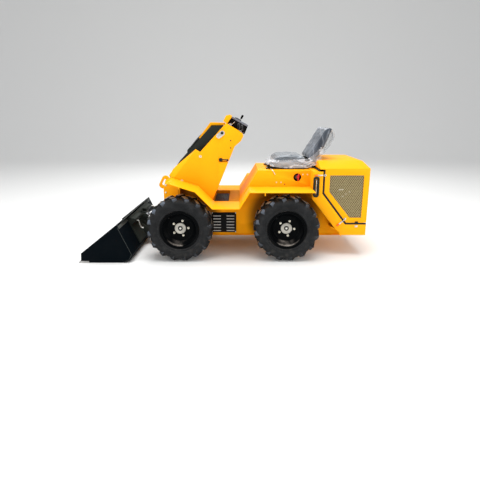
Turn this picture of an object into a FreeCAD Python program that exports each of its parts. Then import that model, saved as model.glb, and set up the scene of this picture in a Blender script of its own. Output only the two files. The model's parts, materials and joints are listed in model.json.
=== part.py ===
import FreeCAD, Part
import math
import os
import Sketcher

# Compact ride-on skid steer loader, in millimetres.
# X runs from the bucket (-X) to the engine hood (+X), +Y is the machine's right side, Z is up.
# The origin is on the ground, under the middle of the machine.

V = FreeCAD.Vector

# Driving dimensions: alias, value, what it sets.
SIZES = (
    # Wheels and running gear
    ("tyre_diameter", 580, "over the lugs"),
    ("tyre_width", 216, "section width"),
    ("carcass_radius", 268, "tyre at the bottom of its lugs"),
    ("lug_count", 16, "lugs on each half of a tyre"),
    ("lug_width", 40, "across one lug"),
    ("lug_reach", 32, "from the foot of the tread down the shoulder to a lug's lower end"),
    ("lug_shift", 31, "from a lug's middle to its inner end, round the tyre"),
    ("lug_droop", 2.8, "flat top of a lug inside the tyre's radius"),
    ("rim_radius", 171, "rim flange"),
    ("bead_radius", 153, "bead seat of the rim"),
    ("rim_width", 190, "over the flanges"),
    ("rim_wall", 7, "rim plate"),
    ("disc_face", 26, "face of the wheel disc, outside the wheel's middle"),
    ("disc_plate", 8, "wheel disc"),
    ("hub_rise", 14, "hub face, outside the disc"),
    ("disc_radius", 112, "flat of the wheel disc"),
    ("hub_radius", 50, "silver hub in the disc"),
    ("stud_circle", 139.7, "wheel stud circle"),
    ("stud_length", 18, "wheel studs, outside the disc"),
    ("shaft_radius", 25, "axle shaft"),
    ("motor_radius", 60, "wheel motor"),
    ("motor_length", 125, "wheel motor inside the frame"),
    ("running_gap", 0.3, "radial gap of a turning shaft"),
    ("front_axle_x", -394, "front axle"),
    ("wheelbase", 936, "between the axles"),
    ("tyre_gap", 60, "from the frame side to the tyre"),
    # Frame and floor
    ("frame_half", 275, "half width over the side plates"),
    ("side_plate", 8, "side plates of frame and tower"),
    ("sheet", 5, "folded sheets"),
    ("frame_front", 176, "side plates ahead of the front axle"),
    ("frame_bottom_z", 170, "underside of the belly plate"),
    ("frame_lip", 18, "outward lip of the belly plate"),
    ("nose_z", 612, "top of the frame's front edge"),
    ("arch_radius", 258, "lip of a wheel arch on the frame side"),
    ("arch_gauge", 6, "lip of a wheel arch"),
    ("arch_depth", 12, "lip of a wheel arch, outside the frame side"),
    ("rail_tail", 40, "rear wall to the end of the frame rails"),
    ("bulkhead_x", -300, "transverse plate behind the front motors"),
    ("fender_nose_x", -488, "front end of the fender"),
    ("fender_nose_z", 708, "height there"),
    ("fender_lip", 14, "turned-up front lip"),
    ("fender_knee_x", -247, "top of the front slope"),
    ("fender_knee_z", 633, "height there"),
    ("floor_front_x", -103, "foot of the front slope"),
    ("floor_z", 485, "floor"),
    ("floor_rear_x", 127, "foot of the rear slope"),
    ("deck_front_x", 214, "top of the rear slope"),
    ("fender_rear_z", 627, "fender over the rear wheels"),
    ("well_front_x", -120, "front of the footwell"),
    ("well_length", 152, "footwell"),
    ("well_depth", 42, "footwell"),
    ("well_margin", 25, "from the frame's outside to the footwell"),
    ("mat", 6, "rubber mat in the footwell"),
    # Tower and boom pivot
    ("pivot_x", -40, "boom pivot"),
    ("pivot_z", 1096, "boom pivot"),
    ("pivot_pin_radius", 22, "boom pivot pin"),
    ("bevel_depth", 60, "across the tower's front bevel"),
    ("bracket_width", 67, "brackets between the console and the tower plates"),
    ("boom_relief", 152, "radius left free round the pivot"),
    # Boom
    ("boom_half", 72, "half width over the boom's plates"),
    ("boom_plate", 12, "boom plates"),
    ("boom_strip", 10, "cover strips between the plates"),
    ("boss_radius", 42, "pivot boss"),
    ("boss_gap", 5, "between the pivot boss and the tower plates"),
    ("guard_half", 52, "half width of the hose guard"),
    ("guard_gauge", 24, "hose guard, over its flanges"),
    # Cylinders
    ("lift_foot_x", -150, "lift cylinder's lower pin"),
    ("lift_foot_z", 380, "lift cylinder's lower pin"),
    ("lift_eye_x", -226, "lift cylinder's rod eye"),
    ("lift_eye_z", 986, "lift cylinder's rod eye"),
    ("lift_barrel_radius", 32, "lift cylinder"),
    ("lift_rod_radius", 17.5, "lift cylinder's rod"),
    ("lift_barrel_length", 442, "from the lower pin to the barrel's open end"),
    ("lift_rod_start", 100, "from the lower pin to the rod's inner end"),
    ("tilt_foot_x", -440, "tilt cylinder's upper pin"),
    ("tilt_foot_z", 540, "tilt cylinder's upper pin"),
    ("tilt_eye_x", -815, "tilt cylinder's rod eye"),
    ("tilt_eye_z", 275, "tilt cylinder's rod eye"),
    ("tilt_barrel_radius", 25, "tilt cylinder"),
    ("tilt_rod_radius", 14, "tilt cylinder's rod"),
    ("tilt_barrel_length", 355, "from the upper pin to the barrel's open end"),
    ("tilt_rod_start", 112, "from the upper pin to the rod's inner end"),
    ("bore_start", 50, "from a barrel's pin to the bottom of its bore"),
    ("eye_radius", 27, "cylinder eyes"),
    ("eye_half", 24, "half width of a cylinder eye"),
    ("eye_pin_radius", 14, "cylinder pins"),
    ("eye_side_gap", 2, "beside a cylinder eye"),
    # Hitch and bucket
    ("hitch_x", -770, "tilt pivot"),
    ("hitch_z", 135, "tilt pivot"),
    ("hitch_boss", 36, "boss round the tilt pivot"),
    ("hitch_pin_radius", 15, "tilt pivot pin"),
    ("hitch_half", 300, "half width of the hitch plate"),
    ("hitch_plate", 12, "hitch plates"),
    ("bucket_half", 561, "half width of the bucket"),
    ("bucket_side", 8, "bucket side plates"),
    ("bucket_sheet", 6, "bucket shell"),
    ("bucket_tip_x", -1287.5, "cutting edge"),
    ("edge_depth", 95, "cutting edge, front to back"),
    ("edge_gauge", 16, "cutting edge"),
    ("bucket_heel_x", -875, "rear end of the bucket's flat"),
    ("bucket_rear_x", -808, "rearmost point of the bucket"),
    ("bucket_rear_z", 73, "height there"),
    ("bucket_top_x", -922, "top of the bucket's back"),
    ("bucket_top_z", 334, "height there"),
    ("spill_half", 460, "half width of the spill guard"),
    # Seat box and seat
    ("deck_z", 775, "seat deck"),
    ("seat_front_x", 297, "front edge of the deck"),
    ("seat_half", 210, "half width of the cushions"),
    # Rear section and hood
    ("rear_half", 397, "half width of the rear section"),
    ("rear_front_x", 775, "front wall of the rear section"),
    ("rear_end_x", 1272.5, "rear wall"),
    ("rear_bottom_z", 200, "underside of the rear section"),
    ("skirt_z", 538, "foot of the front wall"),
    ("skirt_mid_z", 277, "bend of the skirt"),
    ("seam_top_z", 791, "upper run of the seam"),
    ("seam_knee_z", 588, "bend of the seam"),
    ("seam_low_z", 309, "lower run of the seam"),
    ("seam_half", 9, "half the gap at the seam"),
    ("seal_gauge", 16, "rubber seal in the seam"),
    ("hood_top_z", 862, "hood top"),
    ("hood_chamfer", 128, "chamfered shoulder, across"),
    ("hood_shoulder_z", 808, "outer edge of the hood's chamfer"),
    ("hood_rear_chamfer", 34.5, "rear chamfer, along"),
    ("hood_skin", 5, "hood panels"),
    ("grille_pitch", 46, "mesh of the side grilles"),
    ("grille_wire", 8, "web between two openings"),
    ("grille_gauge", 4, "grille plate"),
    ("hinge_radius", 7, "hood hinge knuckles"),
    ("hinge_gap", 8, "hinge axis behind the rear wall"),
    ("hinge_leaf", 4, "hinge leaves"),
    ("hinge_pin_radius", 3.5, "hood hinge pins"),
    ("hinge_y", 180, "middle of each hinge, from the centre line"),
)

document = FreeCAD.newDocument("skid_steer_loader")
sheet = document.addObject("Spreadsheet::Sheet", "dims")
for row, (alias, value, note) in enumerate(SIZES, start=1):
    sheet.set("A%d" % row, alias)
    sheet.set("B%d" % row, str(value))
    sheet.set("C%d" % row, note)
    sheet.setAlias("B%d" % row, alias)
document.recompute()


class Size:
    """A length that keeps the expression it comes from beside its value."""

    def __init__(self, value, text):
        self.value = float(value)
        self.text = text

    def __float__(self):
        return self.value

    def _joined(self, sign, other, value, swapped=False):
        other = as_size(other)
        first, last = (other, self) if swapped else (self, other)
        return Size(value, "(%s %s %s)" % (first.text, sign, last.text))

    def __add__(self, other):
        return self._joined("+", other, self.value + float(other))

    def __radd__(self, other):
        return self._joined("+", other, float(other) + self.value, swapped=True)

    def __sub__(self, other):
        return self._joined("-", other, self.value - float(other))

    def __rsub__(self, other):
        return self._joined("-", other, float(other) - self.value, swapped=True)

    def __mul__(self, other):
        return self._joined("*", other, self.value * float(other))

    def __rmul__(self, other):
        return self._joined("*", other, float(other) * self.value, swapped=True)

    def __truediv__(self, other):
        return self._joined("/", other, self.value / float(other))

    def __neg__(self):
        return Size(-self.value, "(-1 * %s)" % self.text)


def as_size(value):
    """The value itself when it is a Size, otherwise a plain number as one."""
    return value if isinstance(value, Size) else Size(value, repr(float(value)))


class Sizes:
    """The sheet's aliases as attributes."""


S = Sizes()
for alias, value, note in SIZES:
    setattr(S, alias, Size(value, "dims." + alias))

# Places that follow from the driving dimensions
rear_length = S.rear_end_x - S.rear_front_x
S.console_half = S.frame_half - S.side_plate - S.bracket_width
S.well_half = S.frame_half - S.well_margin
S.bevel_half = S.frame_half - S.bevel_depth
S.boss_half = S.frame_half - S.side_plate - S.boss_gap
S.hood_front_x = S.rear_front_x + rear_length * 0.1226
S.seam_x = S.rear_front_x + rear_length * 0.193
S.skirt_mid_x = S.rear_front_x + rear_length * 0.414
S.skirt_low_x = S.rear_front_x + rear_length * 0.5568
S.seam_foot_x = S.rear_front_x + rear_length * 0.625
S.hood_slope_x = S.rear_end_x - S.hood_rear_chamfer
S.hood_flat_half = S.rear_half - S.hood_chamfer

SIDES = (("left", -1), ("right", 1))
ENDS = (("front", S.front_axle_x), ("rear", S.front_axle_x + S.wheelbase))
axle_z = S.tyre_diameter / 2
wheel_y = S.frame_half + S.tyre_gap + S.tyre_width / 2
machine_half = S.frame_half + S.tyre_gap + S.tyre_width
inner_half = S.frame_half - S.side_plate
lift_foot_half = S.lift_barrel_radius + 2
tilt_foot_half = S.tilt_barrel_radius + 2
seating = 0.5

parts = {}


def bind(item, path, size):
    """Tie one property of an object to its sizes."""
    item.setExpression(path, as_size(size).text)


def keep(label, item):
    """Name a finished sub-part; its label is also its file's name."""
    item.Label = label
    parts[label] = item
    return item


def origin_plane(body, role):
    return [item for item in body.Origin.OriginFeatures if item.Role == role][0]


def draw_lines(sketch, corners, closed=True):
    """Straight edges through corners given as pairs of sizes, each corner tied to its sizes."""
    start = sketch.GeometryCount
    count = len(corners) if closed else len(corners) - 1
    for index in range(count):
        first = corners[index]
        last = corners[(index + 1) % len(corners)]
        edge = Part.LineSegment(V(float(first[0]), float(first[1]), 0), V(float(last[0]), float(last[1]), 0))
        sketch.addGeometry(edge)
    joins = count if closed else count - 1
    for index in range(joins):
        following = start + (index + 1) % count
        sketch.addConstraint(Sketcher.Constraint("Coincident", start + index, 2, following, 1))
    for index, corner in enumerate(corners):
        edge, end = (start + index, 1) if index < count else (start + index - 1, 2)
        for kind, size in zip(("DistanceX", "DistanceY"), corner):
            number = sketch.addConstraint(Sketcher.Constraint(kind, -1, 1, edge, end, float(size)))
            if isinstance(size, Size):
                bind(sketch, "Constraints[%d]" % number, size)


def draw_circle(sketch, across, up, radius):
    """A circle tied to its centre and radius."""
    edge = sketch.addGeometry(Part.Circle(V(float(across), float(up), 0), V(0, 0, 1), float(radius)))
    for kind, size in (("DistanceX", across), ("DistanceY", up)):
        number = sketch.addConstraint(Sketcher.Constraint(kind, -1, 1, edge, 3, float(size)))
        bind(sketch, "Constraints[%d]" % number, size)
    number = sketch.addConstraint(Sketcher.Constraint("Radius", edge, float(radius)))
    bind(sketch, "Constraints[%d]" % number, radius)


def body_sketch(body, name, role, corners=(), circles=()):
    """A sketch on one of the body's own planes."""
    sketch = body.newObject("Sketcher::SketchObject", name)
    sketch.AttachmentSupport = [(origin_plane(body, role), "")]
    sketch.MapMode = "FlatFace"
    if corners:
        draw_lines(sketch, corners)
    for across, up, radius in circles:
        draw_circle(sketch, across, up, radius)
    return sketch


def pad(body, name, sketch, length, midplane=False, reverse=False):
    """Material on both sides of the sketch, or on one."""
    feature = body.newObject("PartDesign::Pad", name)
    feature.Profile = sketch
    bind(feature, "Length", length)
    feature.Midplane = midplane
    feature.Reversed = reverse
    return feature


def pocket(body, name, sketch, length, midplane=True, reverse=False):
    """A cut of a given length, as a rule to both sides of the sketch."""
    feature = body.newObject("PartDesign::Pocket", name)
    feature.Profile = sketch
    bind(feature, "Length", length)
    feature.Midplane = midplane
    feature.Reversed = reverse
    sketch.Visibility = False
    return feature


def side_body(label, corners, half, cuts=(), circles=()):
    """A piece drawn from the side, as wide as twice half; each cut is (corners, half width)."""
    body = document.addObject("PartDesign::Body", label)
    pad(body, label + "_pad", body_sketch(body, label + "_outline", "XZ_Plane", corners, circles),
        half * 2, midplane=True)
    for number, (cut_corners, cut_half) in enumerate(cuts):
        sketch = body_sketch(body, "%s_cut_%d" % (label, number), "XZ_Plane", cut_corners)
        pocket(body, "%s_pocket_%d" % (label, number), sketch, cut_half * 2)
    return body


def side_plate(label, corners, gauge, outer_y, circles=(), cuts=()):
    """A plate seen from the side, reaching gauge below outer_y along Y."""
    body = document.addObject("PartDesign::Body", label)
    sketch = body_sketch(body, label + "_outline", "XZ_Plane", corners, circles)
    for cut_corners in cuts:
        draw_lines(sketch, cut_corners)
    pad(body, label + "_pad", sketch, gauge)
    bind(body, "Placement.Base.y", outer_y)
    return body


def prism(label, corners, half_or_span, axis="Y"):
    """A straight-edged solid along Y from the side view, or along X from the front view."""
    sketch = document.addObject("Sketcher::SketchObject", label + "_outline")
    if axis == "Y":
        sketch.Placement = FreeCAD.Placement(V(0, 0, 0), FreeCAD.Rotation(V(1, 0, 0), 90))
        direction = V(0, 1, 0)
    else:
        sketch.Placement = FreeCAD.Placement(V(0, 0, 0), FreeCAD.Rotation(V(1, 1, 1), 120))
        direction = V(1, 0, 0)
    draw_lines(sketch, corners)
    low, high = half_or_span if isinstance(half_or_span, tuple) else (-half_or_span, half_or_span)
    return extrusion(label, sketch, direction, low, high)


def extrusion(label, base, direction, low, high):
    """A solid from low to high along a direction."""
    solid = document.addObject("Part::Extrusion", label)
    solid.Base = base
    solid.DirMode = "Custom"
    solid.Dir = direction
    solid.Solid = True
    bind(solid, "LengthFwd", high)
    bind(solid, "LengthRev", -low)
    return solid


def fold(label, corners, gauge, low, high):
    """A folded sheet: an open side view, its gauge below or beside it, and its reach along Y."""
    sketch = document.addObject("Sketcher::SketchObject", label + "_line")
    sketch.Placement = FreeCAD.Placement(V(0, 0, 0), FreeCAD.Rotation(V(1, 0, 0), 90))
    draw_lines(sketch, corners, closed=False)
    band = document.addObject("Part::Offset2D", label + "_band")
    band.Source = sketch
    bind(band, "Value", gauge)
    band.Mode = "Skin"
    band.Join = 2
    band.Fill = True
    return extrusion(label, band, V(0, 1, 0), low, high)


def cylinder(label, radius, low, high, x, z):
    """A round bar along Y."""
    bar = document.addObject("Part::Cylinder", label)
    bind(bar, "Radius", radius)
    bind(bar, "Height", as_size(high) - low)
    bar.Placement = FreeCAD.Placement(V(0, 0, 0), FreeCAD.Rotation(V(1, 0, 0), -90))
    bind(bar, "Placement.Base.x", x)
    bind(bar, "Placement.Base.y", low)
    bind(bar, "Placement.Base.z", z)
    return bar


def box(label, low, high):
    """A box between two corners."""
    solid = document.addObject("Part::Box", label)
    for side, axis, first, last in zip(("Length", "Width", "Height"), "xyz", low, high):
        bind(solid, side, as_size(last) - first)
        bind(solid, "Placement.Base." + axis, first)
    return solid


def joined(label, pieces):
    """One solid from pieces that meet."""
    fuse = document.addObject("Part::MultiFuse", label)
    fuse.Shapes = pieces
    fuse.Refine = True
    return fuse


def cut(label, base, tool):
    """The base less the tool."""
    result = document.addObject("Part::Cut", label)
    result.Base = base
    result.Tool = tool
    result.Refine = True
    return result


def common(label, first, second):
    """What two solids share."""
    result = document.addObject("Part::MultiCommon", label)
    result.Shapes = [first, second]
    result.Refine = True
    return result


def group(label, pieces):
    """Several like solids that share a node."""
    result = document.addObject("Part::Compound", label)
    result.Links = pieces
    return result


def placed_copy(label, source, placement):
    """The same shape again at another place."""
    copy = document.addObject("Part::Feature", label)
    copy.Shape = source.Shape.copy()
    copy.Placement = placement
    return copy


# Fold of the fender sheet: x, z, and the way to its underside along x and z, in gauges
FENDER_LINE = (
    (S.fender_nose_x, S.fender_nose_z, -0.30, -0.96),
    (S.fender_knee_x, S.fender_knee_z, -0.54, -0.88),
    (S.floor_front_x, S.floor_z, -0.42, -1.0),
    (S.floor_rear_x, S.floor_z, 0.56, -1.0),
    (S.deck_front_x, S.fender_rear_z, 0.56, -1.0),
    (S.rear_front_x, S.fender_rear_z, 0.0, -1.0),
)


def fender_line(gauges):
    """The fold from the fender's nose to its rear end, that many sheet gauges below the top."""
    return [(x + S.sheet * gauges * along, z + S.sheet * gauges * down) for x, z, along, down in FENDER_LINE]


def wheel_arch(end, x, side, sign):
    """Curved lip on the frame side, round the upper half of one wheel."""
    name = "%s_%s" % (end, side)
    near, far = S.frame_half, S.frame_half + S.arch_depth
    low, high = (near, far) if sign > 0 else (-far, -near)
    outer = cylinder("arch_outer_" + name, S.arch_radius, low, high, x, axle_z)
    inner = cylinder("arch_inner_" + name, S.arch_radius - S.arch_gauge, low, high, x, axle_z)
    upper = box("arch_upper_" + name, (x - S.arch_radius - 1, low, axle_z),
                (x + S.arch_radius + 1, high, axle_z + S.arch_radius + 1))
    return common("arch_lip_" + name, cut("arch_ring_" + name, outer, inner), upper)


def build_frame():
    """Welded frame: two side plates, belly plate with lips, bulkhead and rear plate."""
    front = S.front_axle_x - S.frame_front
    outline = [(front, S.frame_bottom_z), (front, S.nose_z), (front + 22, S.nose_z + 76)] + fender_line(1.02)
    tail_x, tail_z = S.rear_end_x - S.rail_tail, S.rear_bottom_z - seating
    outline += [
        (S.rear_front_x, S.skirt_z - seating * 2),
        (S.skirt_mid_x - seating, S.skirt_mid_z - seating),
        (S.skirt_low_x - seating, tail_z),
        (tail_x, tail_z),
        (tail_x, S.frame_bottom_z),
    ]
    pieces = []
    for side, sign in SIDES:
        outer = S.frame_half if sign > 0 else S.side_plate - S.frame_half
        openings = [(x, axle_z, S.shaft_radius + 20.05) for end, x in ENDS]
        pieces.append(side_plate("frame_side_" + side, outline, S.side_plate, outer, circles=openings))
        pieces += [wheel_arch(end, x, side, sign) for end, x in ENDS]
    lip = S.frame_half + S.frame_lip
    pieces.append(box("belly_plate", (front, -lip, S.frame_bottom_z - S.sheet),
                      (tail_x, lip, S.frame_bottom_z)))
    pieces.append(box("tail_plate", (tail_x - S.side_plate, -inner_half, S.frame_bottom_z),
                      (tail_x, inner_half, tail_z)))
    pieces.append(box("bulkhead", (S.bulkhead_x, -inner_half, S.frame_bottom_z),
                      (S.bulkhead_x + S.side_plate, inner_half, S.floor_z - S.well_depth - 40)))
    pieces.append(box("rear_bulkhead", (S.rear_front_x - S.side_plate, -inner_half, S.frame_bottom_z),
                      (S.rear_front_x, inner_half, S.skirt_z)))
    return keep("frame", joined("frame_welded", pieces))


def build_motors():
    """Four wheel motors on the frame's sides, each bored for its shaft."""
    motors = []
    for end, x in ENDS:
        for side, sign in SIDES:
            name = "motor_%s_%s" % (end, side)
            inner, plate, outer = inner_half - S.motor_length, inner_half, S.frame_half + 28
            spans = ((inner, plate), (plate, outer), (outer - 34, outer + 1))
            reach = [span if sign > 0 else (-span[1], -span[0]) for span in spans]
            can = cylinder(name + "_can", S.motor_radius, reach[0][0], reach[0][1], x, axle_z)
            neck = cylinder(name + "_neck", S.shaft_radius + 20, reach[1][0], reach[1][1], x, axle_z)
            low, high = reach[2]
            bore = cylinder(name + "_bore", S.shaft_radius + S.running_gap, low, high, x, axle_z)
            motors.append(cut(name, joined(name + "_body", [can, neck]), bore))
    return keep("wheel_motors", group("wheel_motor_set", motors))


def build_fenders():
    """Folded fender and step sheets outside the frame, one on each side."""
    line = fender_line(0)
    line.insert(0, (S.fender_nose_x - 4, S.fender_nose_z + S.fender_lip))
    for side, sign in SIDES:
        low, high = (inner_half, machine_half) if sign > 0 else (-machine_half, -inner_half)
        keep("fender_" + side, fold("fender_fold_" + side, line, -S.sheet, low, high))


def build_footwell():
    """Floor between the tower and the seat box, with its sunken well and rubber mat."""
    plate = box("floor_plate", (S.floor_front_x - 22, -inner_half, S.floor_z - S.sheet),
                (S.floor_rear_x, inner_half, S.floor_z))
    rear = S.well_front_x + S.well_length
    low = S.floor_z - S.well_depth
    tray = box("well_outside", (S.well_front_x, -S.well_half, low), (rear, S.well_half, S.floor_z - S.sheet))
    hollow = box("well_inside", (S.well_front_x + S.sheet, S.sheet - S.well_half, low + S.sheet),
                 (rear - S.sheet, S.well_half - S.sheet, S.floor_z + 1))
    keep("footwell", cut("footwell_pressing", joined("footwell_blank", [plate, tray]), hollow))
    inset = S.sheet + 2
    keep("footwell_mat", box("well_mat", (S.well_front_x + inset, inset - S.well_half, low + S.sheet),
                             (rear - inset, S.well_half - inset, low + S.sheet + S.mat)))


def tower_outline():
    """Side view of a tower plate, standing on the fender fold."""
    return [
        (S.fender_nose_x + 16, S.fender_nose_z - 4.9),
        (S.pivot_x - 226, S.pivot_z - 130),
        (S.pivot_x - 186, S.pivot_z - 155),
        (S.pivot_x + 51, S.pivot_z + 100),
        (S.pivot_x + 194, S.pivot_z + 11),
        (S.pivot_x + 203, S.pivot_z - 13),
        (S.pivot_x + 181, S.pivot_z - 56),
        (S.pivot_x + 125, S.pivot_z - 105),
        (S.pivot_x + 83, S.pivot_z - 208),
        (S.pivot_x + 72, S.pivot_z - 236),
        (S.pivot_x - 2, S.pivot_z - 236),
        (S.pivot_x - 2, S.pivot_z - 215),
        (S.pivot_x - 20, S.pivot_z - 208),
        (S.pivot_x - 20, S.pivot_z - 243),
        (S.pivot_x - 2, S.pivot_z - 246),
        (S.pivot_x + 67, S.pivot_z - 246),
        (S.floor_front_x + 33, S.floor_z + 129),
        (S.floor_front_x - 22, S.floor_z + 22.7),
        (S.fender_knee_x, S.fender_knee_z + 0.1),
    ]


def build_tower():
    """Two tower plates with bevelled front flanges, the cover between them and the pivot pin."""
    for side, sign in SIDES:
        outer = S.frame_half if sign > 0 else S.side_plate - S.frame_half
        plate = side_plate("tower_plate_" + side, tower_outline(), S.side_plate, outer,
                           circles=[(S.pivot_x, S.pivot_z, S.pivot_pin_radius + 0.05)])
        document.recompute()
        near, far = sign * float(S.frame_half - S.side_plate / 2), sign * float(S.bevel_half)
        gauge = float(S.side_plate) * 0.8
        foot, head = [(float(x), float(z)) for x, z in tower_outline()[:2]]
        edges = (
            (foot, (foot[0] - 55, foot[1] + 17)),
            ((foot[0] + 66, foot[1] + 86), (foot[0] + 7, foot[1] + 98)),
            (head, (head[0] - 7, head[1] - 5)),
        )
        rings = []
        for (x0, z0), (x1, z1) in edges:
            ring = [V(x0, near, z0), V(x1, far, z1), V(x1 + gauge, far, z1), V(x0 + gauge, near, z0)]
            rings.append(Part.makePolygon(ring + ring[:1]))
        bevel = document.addObject("Part::Feature", "tower_bevel_" + side)
        bevel.Shape = Part.makeLoft(rings, True, True)
        keep("tower_" + side, joined("tower_welded_" + side, [plate, bevel]))
    rear = [
        (S.floor_front_x - 20, S.floor_z + 2),
        (S.floor_front_x + 28, S.floor_z + 129),
        (S.pivot_x + 70, S.pivot_z - 224),
        (S.pivot_x + 119, S.pivot_z - 106),
    ]
    keep("tower_rear_cover", fold("tower_rear_fold", rear, S.sheet, -inner_half, inner_half))
    reach = S.frame_half + 6
    pin = cylinder("pivot_pin_bar", S.pivot_pin_radius, -reach, reach, S.pivot_x, S.pivot_z)
    keep("boom_pivot_pin", pin)


def build_console():
    """Console box between the tower plates, its brackets and its levers."""
    outline = [
        (S.pivot_x + 56, S.pivot_z + 94),
        (S.pivot_x + 100, S.pivot_z + 151),
        (S.pivot_x + 244, S.pivot_z + 74),
        (S.pivot_x + 215, S.pivot_z + 2),
    ]
    case = prism("console_case", outline, S.console_half)
    reach = S.boom_half + 14
    relief = cylinder("console_relief", S.boom_relief, -reach, reach, S.pivot_x, S.pivot_z)
    keep("console", cut("console_box", case, relief))
    bracket = [
        (S.pivot_x + 24, S.pivot_z + 116),
        (S.pivot_x + 50, S.pivot_z + 164),
        (S.pivot_x + 84, S.pivot_z + 172),
        (S.pivot_x + 98, S.pivot_z + 151.2),
        (S.pivot_x + 100, S.pivot_z + 151),
        (S.pivot_x + 56, S.pivot_z + 94),
    ]
    brackets = []
    for side, sign in SIDES:
        span = (S.console_half, inner_half) if sign > 0 else (-inner_half, -S.console_half)
        brackets.append(prism("console_bracket_" + side, bracket, span))
    keep("console_brackets", group("console_bracket_pair", brackets))
    levers = []
    for number, y in enumerate((-110, -40, 40, 110)):
        stem = document.addObject("Part::Cylinder", "lever_%d" % number)
        stem.Radius = 7
        stem.Height = 62
        stem.Placement = FreeCAD.Placement(V(0, y, 0), FreeCAD.Rotation(V(0, 1, 0), 28.1))
        bind(stem, "Placement.Base.x", S.pivot_x + 172)
        bind(stem, "Placement.Base.z", S.pivot_z + 112.6)
        levers.append(stem)
    keep("control_levers", group("lever_set", levers))


def build_boom():
    """Cranked boom of two plates with cover strips, its pivot boss, guard and cylinder pins."""
    outline = [
        (S.pivot_x + 58, S.pivot_z + 22),
        (S.pivot_x + 42, S.pivot_z + 52),
        (S.pivot_x + 5, S.pivot_z + 75),
        (S.pivot_x - 99, S.pivot_z + 70),
        (S.pivot_x - 401, S.pivot_z - 253),
        (S.tilt_foot_x - 105, S.tilt_foot_z + 160),
        (S.tilt_foot_x - 128, S.tilt_foot_z - 20),
        (S.tilt_foot_x - 128, S.tilt_foot_z - 120),
        (S.hitch_x + 125, S.hitch_z + 150),
        (S.hitch_x - 5, S.hitch_z + S.hitch_boss),
        (S.hitch_x - S.hitch_boss, S.hitch_z + 8),
        (S.hitch_x - S.hitch_boss + 8, S.hitch_z - 24),
        (S.hitch_x, S.hitch_z - S.hitch_boss),
        (S.hitch_x + 24, S.hitch_z - S.hitch_boss + 4),
        (S.hitch_x + 270, S.hitch_z + 172),
        (S.tilt_foot_x + 42, S.tilt_foot_z - 60),
        (S.tilt_foot_x + 50, S.tilt_foot_z + 60),
        (S.pivot_x - 292, S.pivot_z - 356),
        (S.pivot_x + 30, S.pivot_z - 50),
        (S.pivot_x + 56, S.pivot_z - 18),
    ]
    body = document.addObject("PartDesign::Body", "boom_plates")
    holes = [(S.hitch_x, S.hitch_z, S.hitch_pin_radius + S.running_gap)]
    pad(body, "boom_pad", body_sketch(body, "boom_outline", "XZ_Plane", outline, holes),
        S.boom_half * 2, midplane=True)
    strip = S.boom_strip
    inner_pitch = strip * 1.4
    hollow = [
        (S.pivot_x + 90, S.pivot_z + 10),
        (S.pivot_x - 95, S.pivot_z + 70 - strip),
        (S.pivot_x - 401 + strip, S.pivot_z - 253 - strip * 0.4),
        (S.tilt_foot_x - 105 + strip, S.tilt_foot_z + 160),
        (S.tilt_foot_x - 240, S.tilt_foot_z + 130),
        (S.tilt_foot_x - 240, S.tilt_foot_z - 180),
        (S.tilt_foot_x - 158 + strip, S.tilt_foot_z - 200),
        (S.hitch_x + 125, S.hitch_z + 150 - inner_pitch),
        (S.hitch_x + 85, S.hitch_z + 108 - inner_pitch),
        (S.hitch_x + 85, S.hitch_z + 46),
        (S.hitch_x + 263, S.hitch_z + 182),
        (S.tilt_foot_x + 42 - strip, S.tilt_foot_z - 58),
        (S.tilt_foot_x + 50 - strip, S.tilt_foot_z + 62),
        (S.pivot_x - 300, S.pivot_z - 348),
        (S.pivot_x - 250, S.pivot_z - 300),
        (S.pivot_x - 190, S.pivot_z - 330),
        (S.pivot_x + 90, S.pivot_z - 80),
    ]
    inside = body_sketch(body, "boom_inside", "XZ_Plane", hollow)
    pocket(body, "boom_hollow", inside, (S.boom_half - S.boom_plate) * 2)
    boss = cylinder("pivot_boss", S.boss_radius, -S.boss_half, S.boss_half, S.pivot_x, S.pivot_z)
    bore = cylinder("pivot_bore", S.pivot_pin_radius + S.running_gap, -S.boss_half - 1, S.boss_half + 1,
                    S.pivot_x, S.pivot_z)
    pieces = [body, boss]
    cheeks = (
        ("lift", S.lift_eye_x, S.lift_eye_z, S.eye_half),
        ("tilt", S.tilt_foot_x, S.tilt_foot_z, tilt_foot_half),
    )
    for name, x, z, eye_half in cheeks:
        gap = eye_half + S.eye_side_gap
        for side, sign in SIDES:
            span = (gap, S.boom_half + 4) if sign > 0 else (-S.boom_half - 4, -gap)
            pieces.append(cylinder("%s_cheek_%s" % (name, side), S.eye_radius - 3, span[0], span[1], x, z))
    tilt_pin = cylinder("tilt_foot_pin", S.eye_pin_radius, -S.boom_half, S.boom_half,
                        S.tilt_foot_x, S.tilt_foot_z)
    welded = cut("boom_bored", joined("boom_welded", pieces), bore)
    keep("boom", joined("boom_pinned", [welded, tilt_pin]))
    side_view = [
        (S.pivot_x + 28, S.pivot_z + 97),
        (S.pivot_x - 106, S.pivot_z + 101),
        (S.pivot_x - 190, S.pivot_z - 27),
        (S.pivot_x - 172, S.pivot_z - 7.5),
        (S.pivot_x - 97, S.pivot_z + 77),
        (S.pivot_x - 88, S.pivot_z + 71),
        (S.pivot_x + 3, S.pivot_z + 75.4),
        (S.pivot_x + 28, S.pivot_z + 75.4),
    ]
    channel = [
        (S.pivot_x + 60, S.pivot_z + 92),
        (S.pivot_x - 103, S.pivot_z + 96),
        (S.pivot_x - 196, S.pivot_z - 44),
        (S.pivot_x - 130, S.pivot_z - 44),
        (S.pivot_x - 60, S.pivot_z + 60),
        (S.pivot_x + 60, S.pivot_z + 60),
    ]
    keep("hose_guard", side_body("hose_guard_sheet", side_view, S.guard_half,
                                 cuts=[(channel, S.guard_half - 4)]))


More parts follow.
